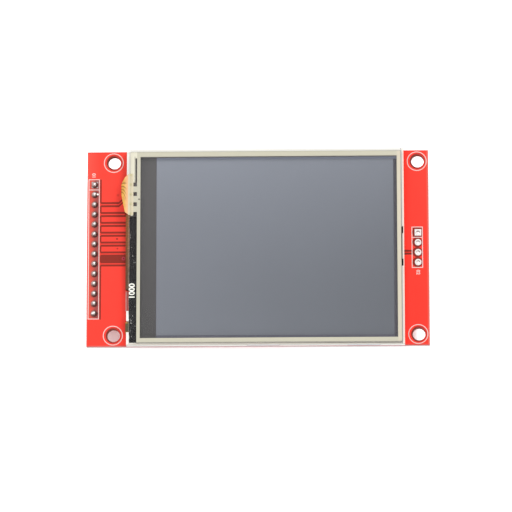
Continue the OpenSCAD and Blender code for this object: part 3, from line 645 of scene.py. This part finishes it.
def pad_finish(metal):
    """Tinned pads, duller and warmer at the main header."""
    s = bright_metal("tinned_pad", shade(metal.tin, 0.85), 0.45)
    s.feed("Metallic", 0.35)
    at_header = s.x.under(0, 1) * s.z.over(-0.8)
    s.feed("Base Color", s.mix(at_header, shade(metal.tin, 0.76), (0.36, 0.30, 0.29)))
    return s


def solder_finish(metal):
    """Bright solder, shaded at its lower right, with a white glint on each joint."""
    s = Surface("bright_solder", metal.solder, metallic=0.6, roughness=0.3)
    mottle = s.noise(0.5, 3)
    dx, dy = s.x - PIN_X, s.above_pin()
    spot = length(dx - 0.02, dy - 0.12)
    shadow = (dx * 0.5 - dy * 0.25 + spot * 0.6 + mottle * 0.3).over(0.42, 0.5)
    skin = s.mix(shadow, metal.solder[:], (0.11, 0.052, 0.045))
    glint = spot.under(0.27, 0.14)
    for run_x, run_y in ((0.74, pin_y(2) + 0.06), (-0.34, pin_y(14) - 0.02)):
        glint = glint.either(s.distance(PIN_X + run_x, run_y).under(0.25, 0.2))
    s.feed("Metallic", (1 - glint) * 0.6)
    s.feed("Base Color", s.mix(glint, skin, GLINT))
    s.feed("Roughness", mottle * 0.2 + 0.25)
    s.bump(mottle, 0.03, 0.35)
    return s


def pin_finish(metal):
    """Gilt pins, tinned where the solder wets them, with a white glint on each tip."""
    s = bright_metal("gilt_pin", metal.gilt[:], 0.25)
    tinned = s.mix(s.noise(0.3, 3), metal.solder[:], metal.tin[:])
    skin = s.mix(s.z.over(-0.8, 0.3), metal.gilt[:], tinned)
    spot = length(s.x - (PIN_X + 0.03), s.above_pin() - 0.1)
    glint = spot.under(0.21, 0.1) * s.z.over(0.6)
    s.feed("Base Color", s.mix(glint, skin, GLINT))
    s.feed("Metallic", 1 - glint)
    return s


def tray_finish(metal):
    """Brushed steel, with painted shade on the sides that face the board's lower edge."""
    s = bright_metal("tray_steel", metal.steel[:], 0.35, (0.2, 3, 3))
    s.feed("Metallic", 0.5)
    s.feed("Base Color", s.mix(s.facing_down(), metal.steel[:], shade(metal.steel, 0.68)))
    return s


def moulding_finish(look):
    """White moulded frame, with painted shade and shadow beside and below the glass, and painted
    light from the red board on its right rail.
    """
    s = Surface("white_moulding", look.moulding, roughness=0.5)
    grain = s.noise(0.2, 3)
    top = s.facing_front()
    skin = s.mix(s.noise(3).over(0.5, 0.5), shade(look.moulding, 0.94), look.moulding[:])

    # Below the glass: painted shade on the step, a thin painted shadow along the glass's lower
    # edge, and painted shade on the side under it
    below = s.y.under(GLASS_LOW.y + 0.02, 0.1)
    skin = s.mix(below * top * 0.8, skin, (0.64, 0.60, 0.53))
    gap_shadow = (s.y - GLASS_LOW.y + s.rising() * 0.12).over(0.01, 0.06) * top
    gap_shadow = gap_shadow * s.rect(GLASS_LOW.x + 2, GLASS_LOW.y - 0.4, GLASS_HIGH.x, GLASS_LOW.y + 0.1)
    skin = s.mix(gap_shadow, skin, (0.13, 0.12, 0.11))
    side_shade = below * (1 - top) * s.z.over(FRAME_HIGH.z - 1.3, 0.2)
    skin = s.mix(side_shade, skin, (0.36, 0.34, 0.30))

    # Right rail: painted light, warm from the red board beside it, and a painted shadow in the gap
    # beside the panel that widens at its middle
    rail = s.x.over(FRAME_HIGH.x - 0.3, 0.15)
    skin = s.mix(rail * top, skin, (0.84, 0.62, 0.54))
    middle = abs(s.y).under(4, 1)
    painted_strip_beside = s.x.over(TOUCH_HIGH.x - 0.05, 0.05)
    painted_strip_beside = painted_strip_beside * (s.x - middle * 0.12).under(TOUCH_HIGH.x + 0.17, 0.05)
    s.feed("Base Color", s.mix(painted_strip_beside * top * 0.8, skin, (0.16, 0.15, 0.145)))
    s.feed("Roughness", grain * 0.16 + 0.42)
    s.bump(grain, 0.006, 0.6)
    return s


def picture_finish(look):
    """Front polariser: the picture area, a little uneven, with a painted reflection that darkens
    it toward its lower right, inside its black margin.
    """
    s = Surface("picture", look.picture, roughness=0.3, specular_ior_level=0.3)
    low_x, low_y = PICTURE_LOW
    high_x, high_y = PICTURE_HIGH
    across = (s.x - low_x) / (high_x - low_x)
    down = (high_y - s.y) / (high_y - low_y)
    cloud = s.noise(30, 1)
    painted_reflection = across * 0.4 + down * 0.63 + down * (1 - down) * 0.7 + cloud * 0.2
    area = s.mix(painted_reflection.math("ADD", -0.13, clamp=True), look.picture[:], shade(look.picture, 0.5))

    # The margin: darker toward the lower end at its left, bluer on the other sides, and lighter
    # with painted light along its upper side
    right_of = s.x.over(low_x, 0.3)
    left = s.mix(down.math("ADD", 0, clamp=True), look.margin[:], shade(look.margin, 0.66))
    others = s.mix(s.x.over(high_x, 0.3), shade(look.margin, 1.03, 1.08, 1.36),
                   shade(look.margin, 0.9, 0.9, 1.08))
    margin = s.mix(right_of, left, others)
    lit_upper_margin = s.y.over(high_y, 0.1) * right_of
    margin = s.mix(lit_upper_margin, margin, shade(look.margin, 2.25, 2.6, 3.2))

    # Painted light beside the border, which stands above it, lifting the shade it casts
    painted_lift = ((high_y + 0.93 - s.y).under(0.5, 1) * 0.7).either(
        (s.x - (low_x - 4.2)).under(0.5, 1) * 0.5,
        (high_x + 0.9 - s.x).under(0.3, 0.6) * 0.25,
        (s.y - (low_y - 0.9)).under(0.4, 0.8) * 0.25)
    inside = s.rect(low_x, low_y, high_x, high_y, 0.08)
    whole = s.node("ShaderNodeVectorMath", {0: s.mix(inside, margin, area), "Scale": painted_lift + 1},
                   operation="SCALE")
    s.feed("Base Color", whole.outputs[0])
    s.feed("Roughness", cloud * 0.1 + 0.25)
    return s


def tape_finish(look):
    """Creased black tape with a few pale specks."""
    s = Surface("black_tape", look.tape, roughness=0.6, specular_ior_level=0.07)
    creases = s.noise(1.3, 4, (1, 0.4, 1))
    specks = s.noise(0.25).over(0.72, 0.04)
    grey = tuple(channel + 0.009 for channel in look.tape)
    skin = s.mix(creases.over(0.56, 0.25), look.tape[:], grey)
    s.feed("Base Color", s.mix(specks * 0.35, skin, linear(170, 170, 172)))
    s.feed("Roughness", creases * 0.2 + 0.5)
    s.bump(creases, 0.05, 0.8)
    return s


def border_finish(look):
    """Cream border of the touch panel, with painted light in a band at its upper left, painted
    shade along its lower edge, and worn places.
    """
    s = Surface("cream_border", look.border, roughness=0.5)
    cream = s.mix(s.noise(1.5), shade(look.border, 0.97, 0.97, 0.92), look.border[:])
    # Painted light in a band at the upper left
    lit_band = s.x.under(TOUCH_LOW.x + 1.6) * s.y.over(16, 2)
    cream = s.mix(lit_band, cream, shade(look.border, 1.28))
    right_end = s.x.over(33, 0.5)
    cream = s.mix(right_end * 0.5, cream, (0.56, 0.48, 0.37))
    # Painted shade along the lower edge
    lower_edge = (s.y - box_mm("touch_border")[0].y).under(0.12, 0.08)
    cream = s.mix(lower_edge * (0.7 - s.rising() * 0.25), cream, (0.10, 0.098, 0.085))
    slot = s.rect(FRAME_LOW.x + 2.02, 16.2, FRAME_LOW.x + 2.12, TOUCH_HIGH.y - 1.15)
    cream = s.mix(slot, cream, (0.10, 0.098, 0.080))
    nick = s.distance(FRAME_LOW.x + 3.15, 11.9).under(0.2, 0.1)
    s.feed("Base Color", s.mix(nick, cream, (0.06, 0.055, 0.04)))
    return s


def gasket_finish():
    """Grey gasket, dark where it lies beside the tape."""
    grey = linear(122, 118, 118)
    s = plain_plastic("grey_gasket", grey, 0.7)
    beside_tape = s.y.under(TAPE_HIGH.y + 2.2, 0.6)
    s.feed("Base Color", s.mix(beside_tape, grey, linear(45, 43, 46)))
    return s


def clear_finish(name, color, veil, edge, edge_veil, roughness):
    """Clear glass or film: almost clear from the front, and dark through its edges."""
    s = Surface(name, color, roughness=roughness, ior=1.5)
    side = s.facing_aside()
    s.feed("Base Color", s.mix(side, color, edge))
    s.feed("Alpha", side * (edge_veil - veil) + veil)
    return s


def glass_finish():
    """Touch glass: clear, with painted light on its streaked rim where it reaches past the film,
    and dark along its lower side.
    """
    dark = linear(88, 82, 76)
    s = clear_finish("touch_glass_clear", linear(205, 214, 210), 0.008, dark, 0.95, 0.05)
    lower_edge, side, flat = s.facing_down(), s.facing_aside(), s.facing_front()
    left = s.x.under(GLASS_LOW.x + 0.17, 0.05) * flat
    top = s.y.over(TOUCH_HIGH.y, 0.05) * flat
    corner = s.x.under(TOUCH_LOW.x, 0.05) * s.y.over(18.4, 0.4) * flat
    streak = s.noise(0.35, 3, (1, 0.3, 1)).over(0.55, 0.2)
    # Painted light on the rim past the film, brightest along the top
    lit_rim = s.mix(streak, (0.60, 0.56, 0.48), (0.3, 0.25, 0.2))
    lit_rim = s.mix(top, lit_rim, (0.66, 0.65, 0.61))
    lit_rim = s.mix(corner * (1 - top), lit_rim, (0.58, 0.56, 0.49))
    face = s.mix(s.z.over(GLASS_HIGH.z - 0.55, 0.2), linear(214, 207, 192), linear(66, 62, 57))
    s.feed("Base Color", s.mix(lower_edge, lit_rim, face))
    veil = (lower_edge * 0.93).either(side * 0.2, left * 0.12, top * 0.9, corner * 0.7)
    s.feed("Alpha", veil + 0.008)
    return s


def liner_finish():
    """A clear adhesive film, whiter along its outer side."""
    s = Surface("clear_liner", (0.60, 0.30, 0.27), roughness=0.3)
    outer = s.x.under(FRAME_LOW.x - 0.08, 0.15)
    s.feed("Base Color", s.mix(outer, (0.5, 0.10, 0.085), (0.66, 0.33, 0.30)))
    s.feed("Alpha", s.noise(0.8) * 0.4 + 0.45)
    return s


def tail_finish(name, look, lines, film, copper):
    """Film over copper lines; lines and film give a mask and a colour for a surface."""
    s = Surface(name, look.amber, roughness=0.35, specular_ior_level=0.2)
    s.feed("Base Color", s.mix(lines(s), film(s), copper))
    s.feed("Roughness", s.noise(1.2) * 0.15 + 0.28)
    return s


def touch_tail_finish(look):
    """The touch panel's tail, with four lines that run together as it narrows."""
    low, high = box_mm("touch_flex")
    bend_x = FRAME_LOW.x + 0.55

    def reach(s):
        """0 where the tail's bend starts and 1 at its outermost line."""
        return ((bend_x - s.x) / (bend_x - low.x)).math("ADD", 0, clamp=True)

    def lines(s):
        back = 1 - reach(s)
        ease = 1 - back * back
        masks = []
        for index in range(4):
            wide = high.y - 2.6 - index * 2.2
            narrow = high.y - 2.3 - index * 0.72
            masks.append(abs(s.y - (ease * (narrow - wide) + wide)).under(0.16, 0.12))
        mask = masks[0].either(*masks[1:])
        return mask * reach(s).over(0.35, 0.3) * s.z.over(low.z + 0.4, 0.2) * 0.85

    def film(s):
        """Amber on the bend, paler toward the glass, and cream where it is bonded."""
        part = reach(s)
        folds = s.noise(0.8, 3, (1, 0.7, 1))
        amber = s.mix(folds.over(0.5, 0.4), (0.50, 0.24, 0.05), (0.68, 0.40, 0.08))
        peach = s.mix(folds, (0.60, 0.32, 0.15), (0.66, 0.38, 0.20))
        curl = s.mix(part.over(0.42, 0.35), peach, amber)
        spots = (s.y - (high.y - 2.8)).repeat(2.5).under(0.35, 0.3)
        spots = spots * s.x.between(bend_x + 0.15, bend_x + 0.85, 0.2)
        cream = s.mix(spots * 0.7, (0.52, 0.46, 0.33), (0.44, 0.40, 0.22))
        bonded = s.mix(part.under(0.1, 0.1), curl, cream)
        return s.mix(s.z.over(1.2, 1.2), look.amber[:], bonded)

    return tail_finish("touch_tail_film", look, lines, film, (0.22, 0.11, 0.02))


def display_tail_finish(look):
    """The display's tail, with many fine lines side by side."""
    def lines(s):
        worn = s.noise(0.5, 3, (1, 0.8, 1)).over(0.48, 0.3) * 0.6
        return (s.y.repeat(0.6).under(0.12, 0.1) * 0.5).either(worn)

    def film(s):
        """Brown under its cover film, duller toward the lower end."""
        along = (s.y + 8).math("DIVIDE", 14, clamp=True)
        return s.mix(along, (0.125, 0.062, 0.028), (0.30, 0.11, 0.025))

    return tail_finish("display_tail_film", look, lines, film, (0.05, 0.03, 0.02))


def lamp_tail_finish(look):
    """The lamps' tail: dark, with amber at both sides."""
    tail = [corner.co.y / MM for corner in NODES["lamp_flex"].data.vertices
            if corner.co.x / MM < FRAME_LOW.x]
    middle, width = (min(tail) + max(tail)) / 2, max(tail) - min(tail)

    def lines(s):
        return s.noise(0.5, 3).over(0.5, 0.3) * 0.7

    def film(s):
        sides = abs(s.y - middle).over(width * 0.38, 0.3)
        return s.mix(sides, (0.075, 0.075, 0.035), (0.42, 0.22, 0.03))

    return tail_finish("lamp_tail_film", look, lines, film, (0.11, 0.09, 0.05))


# ---- Operators ----


class DressBoard(bpy.types.Operator):
    """Red board with etched gaps, white print and plated holes."""

    bl_idname = "display_module.board"
    bl_label = "Board"

    def execute(self, context):
        look = context.scene.board_look
        dress(board_finish(look), "circuit_board")
        ink = print_finish(look)
        dress(ink, "front_legend", "rear_legend")
        dress(pad_finish(context.scene.metal_look), "header_pads", "spare_pads", "rear_lands")
        for name, text, x, y in (
                ("header_number", "01", PIN_X - 0.33, pin_y(1) + 2.4),
                ("spare_number", "02", SPARE_X - 0.05, SPARE_TOP_Y - 3 * PITCH - 2.6)):
            mark(name, text, 1.25, (x, y, 0.0), 0.03, ink)
        return {"FINISHED"}


class DressHeader(bpy.types.Operator):
    """Header pins with their plastic and solder joints."""

    bl_idname = "display_module.header"
    bl_label = "Header"

    def execute(self, context):
        metal = context.scene.metal_look
        solder = solder_finish(metal)
        dress(solder, "header_solder")
        dress(pin_finish(metal), *PIN_NAMES)
        dress(plain_plastic("header_plastic", linear(30, 30, 33), 0.42), "header_housing")

        # Uneven joints: a run of solder beside the second pin, and a wide joint on the last
        mesh = bmesh.new()
        for number, dx, dy, radii in ((2, 0.72, 0.06, (0.36, 0.3, 0.34)),
                                      (14, 0.32, 0.02, (0.62, 0.5, 0.5)),
                                      (14, -0.3, -0.05, (0.6, 0.52, 0.42))):
            add_blob(mesh, (PIN_X + dx, pin_y(number) + dy, 0.02), radii, subdivisions=3)
        settle("solder_runs", mesh, solder, smooth=True)
        return {"FINISHED"}


class DressDisplayBody(bpy.types.Operator):
    """Frame, tray, foam and the backlight's layers."""

    bl_idname = "display_module.display_body"
    bl_label = "Display body"

    def execute(self, context):
        dress(tray_finish(context.scene.metal_look), "steel_tray")
        dress(plain_plastic("black_foam", linear(50, 50, 52), 0.9, 0.3), "foam_strips")
        dress(plain_plastic("reflector_film", linear(240, 240, 238), 0.4), "reflector_sheet")
        sheet = clear_finish("optical_film", linear(225, 230, 232), 0.5,
                             linear(160, 170, 172), 0.7, 0.3)
        dress(sheet, "light_guide", "diffuser_sheet", "lower_prism_sheet", "upper_prism_sheet")
        dress(plain_plastic("lamp_body", linear(235, 225, 180), 0.35), "lamps")
        dress(moulding_finish(context.scene.display_look), "display_frame")
        return {"FINISHED"}


class DressCell(bpy.types.Operator):
    """Liquid-crystal cell with its polarisers, driver chip and black tapes."""

    bl_idname = "display_module.cell"
    bl_label = "Liquid-crystal cell"

    def execute(self, context):
        look = context.scene.display_look
        dress(picture_finish(look), "front_polariser")
        dress(plain_plastic("dark_polariser", linear(60, 62, 66), 0.3), "rear_polariser")
        glass = clear_finish("cell_glass", linear(90, 96, 98), 0.75, linear(70, 82, 80), 0.85, 0.1)
        dress(glass, "lower_glass", "upper_glass")
        dress(plain_plastic("silicon", linear(58, 60, 66), 0.2, coat=0.3), "driver_chip")
        tape = tape_finish(look)
        dress(tape, "shield_tape", "side_tape", "rim_tape")

        # The tape's torn edge: a thin strip whose outer side wanders
        chance = random.Random(SEED)
        mesh = bmesh.new()
        long = TAPE_HIGH.y - TAPE_LOW.y - 0.4
        middle = (TAPE_HIGH.y + TAPE_LOW.y) / 2
        bmesh.ops.create_grid(mesh, x_segments=1, y_segments=TEAR_STEPS, size=0.5,
                              matrix=Matrix.Diagonal((0.2, long, 1, 1)))
        wander = 0.0
        for vertex in sorted(mesh.verts, key=lambda v: v.co.y):
            vertex.co.y += chance.uniform(-0.1, 0.1) if abs(vertex.co.y) < long / 2 - 0.2 else 0
            if vertex.co.x < 0:
                wander = min(0.16, max(-0.1, wander + chance.uniform(-0.07, 0.07)))
                vertex.co.x -= wander
        bmesh.ops.translate(mesh, verts=mesh.verts,
                            vec=(TAPE_LOW.x + 0.02, middle, TAPE_HIGH.z - 0.06))
        bmesh.ops.solidify(mesh, geom=mesh.faces[:], thickness=-0.05)
        bmesh.ops.recalc_face_normals(mesh, faces=mesh.faces[:])
        settle("torn_tape_edge", mesh, tape)

        paint = plain_plastic("tape_print", linear(236, 236, 226), 0.6)
        mark("tape_number", "0001", 2.0, (TAPE_LOW.x + 0.52, -11.4, TAPE_HIGH.z), 0.012, paint)
        lint = plain_plastic("lint", linear(205, 205, 200), 0.8)
        mesh = bmesh.new()
        for _ in range(LINT_COUNT):
            centre = (chance.uniform(TAPE_LOW.x + 0.1, TAPE_HIGH.x - 0.3),
                      chance.uniform(TAPE_LOW.y + 1, TAPE_HIGH.y - 0.5), TAPE_HIGH.z)
            turn = chance.uniform(0, math.pi)
            radii = (chance.uniform(0.03, 0.09), chance.uniform(0.05, 0.2), 0.02)
            add_blob(mesh, centre, radii, turn)
        settle("lint_on_tape", mesh, lint, smooth=True)
        return {"FINISHED"}


class DressTouchPanel(bpy.types.Operator):
    """Touch glass, film and the cream border between them."""

    bl_idname = "display_module.touch_panel"
    bl_label = "Touch panel"

    def execute(self, context):
        look = context.scene.display_look
        dress(border_finish(look), "touch_border")
        dress(gasket_finish(), "touch_gasket")
        dress(glass_finish(), "touch_glass")
        dress(clear_finish("touch_film_clear", linear(214, 218, 216), look.haze,
                           linear(150, 152, 146), 0.6, 0.35), "touch_film")
        return {"FINISHED"}


class DressTails(bpy.types.Operator):
    """Flexible tails with their copper lines, and a strip of film left beside them."""

    bl_idname = "display_module.tails"
    bl_label = "Tails"

    def execute(self, context):
        # A strip of clear adhesive film left on the board, in the gap below the wide tail
        wide_low = box_mm("display_flex")[0]
        mesh = bmesh.new()
        place = Matrix.Translation((FRAME_LOW.x + 0.02, wide_low.y - 2.65, 0.03))
        bmesh.ops.create_cube(mesh, size=1, matrix=place @ Matrix.Diagonal((0.7, 5.1, 0.05, 1)))
        settle("adhesive_liner", mesh, liner_finish())

        metal = context.scene.metal_look
        dress(touch_tail_finish(metal), "touch_flex")
        dress(display_tail_finish(metal), "display_flex")
        dress(lamp_tail_finish(metal), "lamp_flex")
        return {"FINISHED"}


class DressCardSocket(bpy.types.Operator):
    """Memory-card socket behind the board."""

    bl_idname = "display_module.card_socket"
    bl_label = "Card socket"

    def execute(self, context):
        metal = context.scene.metal_look
        dress(bright_metal("cover_steel", metal.steel[:], 0.3, (0.3, 4, 4), 0.4), "socket_cover")
        dress(plain_plastic("socket_plastic", linear(32, 32, 36), 0.5), "socket_base")
        dress(bright_metal("gilt_contact", metal.gilt[:], 0.22), "socket_contacts", "card_switch")
        return {"FINISHED"}


class DressRearParts(bpy.types.Operator):
    """Chips, resistors and capacitors behind the board."""

    bl_idname = "display_module.rear_parts"
    bl_label = "Rear parts"

    def execute(self, context):
        metal = context.scene.metal_look
        moulding = plain_plastic("chip_moulding", linear(40, 41, 44), 0.6, 0.1)
        dress(moulding, "touch_controller", "regulator", "lamp_transistor")
        dress(bright_metal("tinned_lead", metal.tin[:], 0.3), "controller_leads", "small_leads",
              "passive_ends")
        dress(plain_plastic("resistor_glaze", linear(34, 35, 40), 0.3), "resistors")
        dress(plain_plastic("ceramic", linear(176, 138, 96), 0.5), "capacitors")

        # A fillet of solder at the foot of each lead and each end cap
        fillet = bright_metal("fillet_solder", metal.solder[:], 0.22)
        mesh = bmesh.new()
        for node, size in (("controller_leads", 0.28), ("small_leads", 0.34),
                           ("passive_ends", 0.3)):
            for low, high in islands(node):
                middle, reach = (low + high) / 2, size * 0.6
                add_blob(mesh, (middle.x, middle.y, BOARD_LOW.z),
                         ((high.x - low.x) / 2 + reach, (high.y - low.y) / 2 + reach, size * 0.7))
        settle("rear_fillets", mesh, fillet, smooth=True)
        return {"FINISHED"}


class BuildStage(bpy.types.Operator):
    """Pale floor, soft lights and the camera."""

    bl_idname = "display_module.stage"
    bl_label = "Stage"

    def execute(self, context):
        look = context.scene.stage_look
        scene = context.scene
        scene.view_settings.view_transform = "Standard"
        scene.view_settings.look = "None"

        mesh = bmesh.new()
        bmesh.ops.create_grid(mesh, x_segments=2, y_segments=2, size=1.5)
        bmesh.ops.translate(mesh, verts=mesh.verts, vec=(0, 0, CAD_BOX[0][2]))
        paper = Surface("white_paper", (0.92, 0.92, 0.92), roughness=0.9)
        paper.feed("Base Color", paper.mix(paper.noise(40), (0.9, 0.9, 0.9), (0.93, 0.93, 0.93)))
        # Painted light: the table glows faintly, everywhere except right under the board
        under = paper.rect(BOARD_LOW.x + 0.6, BOARD_LOW.y + 2.4, BOARD_HIGH.x - 3, 20, 1.5)
        paper.feed("Emission Color", paper.mix(under, (0.9, 1, 1), (0, 0, 0)))
        paper.feed("Emission Strength", look.table)
        floor = add_object("floor", mesh, paper)

        world = bpy.data.worlds.new("soft_room")
        world.use_nodes = True
        background = world.node_tree.nodes["Background"]
        background.inputs["Color"].default_value = (1, 1, 1, 1)
        background.inputs["Strength"].default_value = look.sky
        scene.world = world

        for name, place, power, size in (
                ("key_light", (0.42, 0.5, 0.8), look.key_power, 0.45),
                ("top_light", (-0.38, -0.12, 0.95), look.fill_power * 1.6, 0.45),
                ("side_light", (-0.75, 0.3, 0.6), look.fill_power, 0.5),
                ("front_light", (0.1, -0.8, 0.55), look.fill_power, 0.5)):
            light = bpy.data.lights.new(name, "AREA")
            light.energy = power
            light.size = size
            lamp = bpy.data.objects.new(name, light)
            lamp.location = place
            lamp.rotation_euler = (-Vector(place)).to_track_quat("-Z", "Y").to_euler()
            scene.collection.objects.link(lamp)

        lens = bpy.data.cameras.new("camera")
        lens.lens = look.lens
        lens.sensor_width = 36
        lens.clip_start = 0.05
        camera = bpy.data.objects.new("camera", lens)
        turn_x, turn_y, turn_z = (math.radians(angle) for angle in look.camera_turn)
        camera.matrix_world = (Matrix.Translation(look.camera_place)
                               @ Matrix.Rotation(turn_x, 4, "X")
                               @ Matrix.Rotation(turn_y, 4, "Y")
                               @ Matrix.Rotation(turn_z, 4, "Z"))
        scene.collection.objects.link(camera)
        scene.camera = camera
        return {"FINISHED"}


STEPS = (DressBoard, DressHeader, DressDisplayBody, DressCell, DressTouchPanel, DressTails,
         DressCardSocket, DressRearParts, BuildStage)


class ModulePanel(bpy.types.Panel):
    """Lists the steps in the sidebar."""

    bl_idname = "VIEW3D_PT_display_module"
    bl_label = "Display Module"
    bl_space_type = "VIEW_3D"
    bl_region_type = "UI"
    bl_category = "Display Module"

    def draw(self, context):
        for step in STEPS:
            self.layout.operator(step.bl_idname)


LOOKS = {"board_look": BoardLook, "display_look": DisplayLook, "metal_look": MetalLook,
         "stage_look": StageLook}


def register():
    for look in LOOKS.values():
        bpy.utils.register_class(look)
    for step in STEPS:
        bpy.utils.register_class(step)
    bpy.utils.register_class(ModulePanel)
    for name, look in LOOKS.items():
        setattr(bpy.types.Scene, name, PointerProperty(type=look))


def unregister():
    for name in LOOKS:
        delattr(bpy.types.Scene, name)
    bpy.utils.unregister_class(ModulePanel)
    for step in reversed(STEPS):
        bpy.utils.unregister_class(step)
    for look in LOOKS.values():
        bpy.utils.unregister_class(look)


def main():
    register()
    for step in STEPS:
        family, name = step.bl_idname.split(".")
        getattr(getattr(bpy.ops, family), name)()


if __name__ == "__main__":
    main()
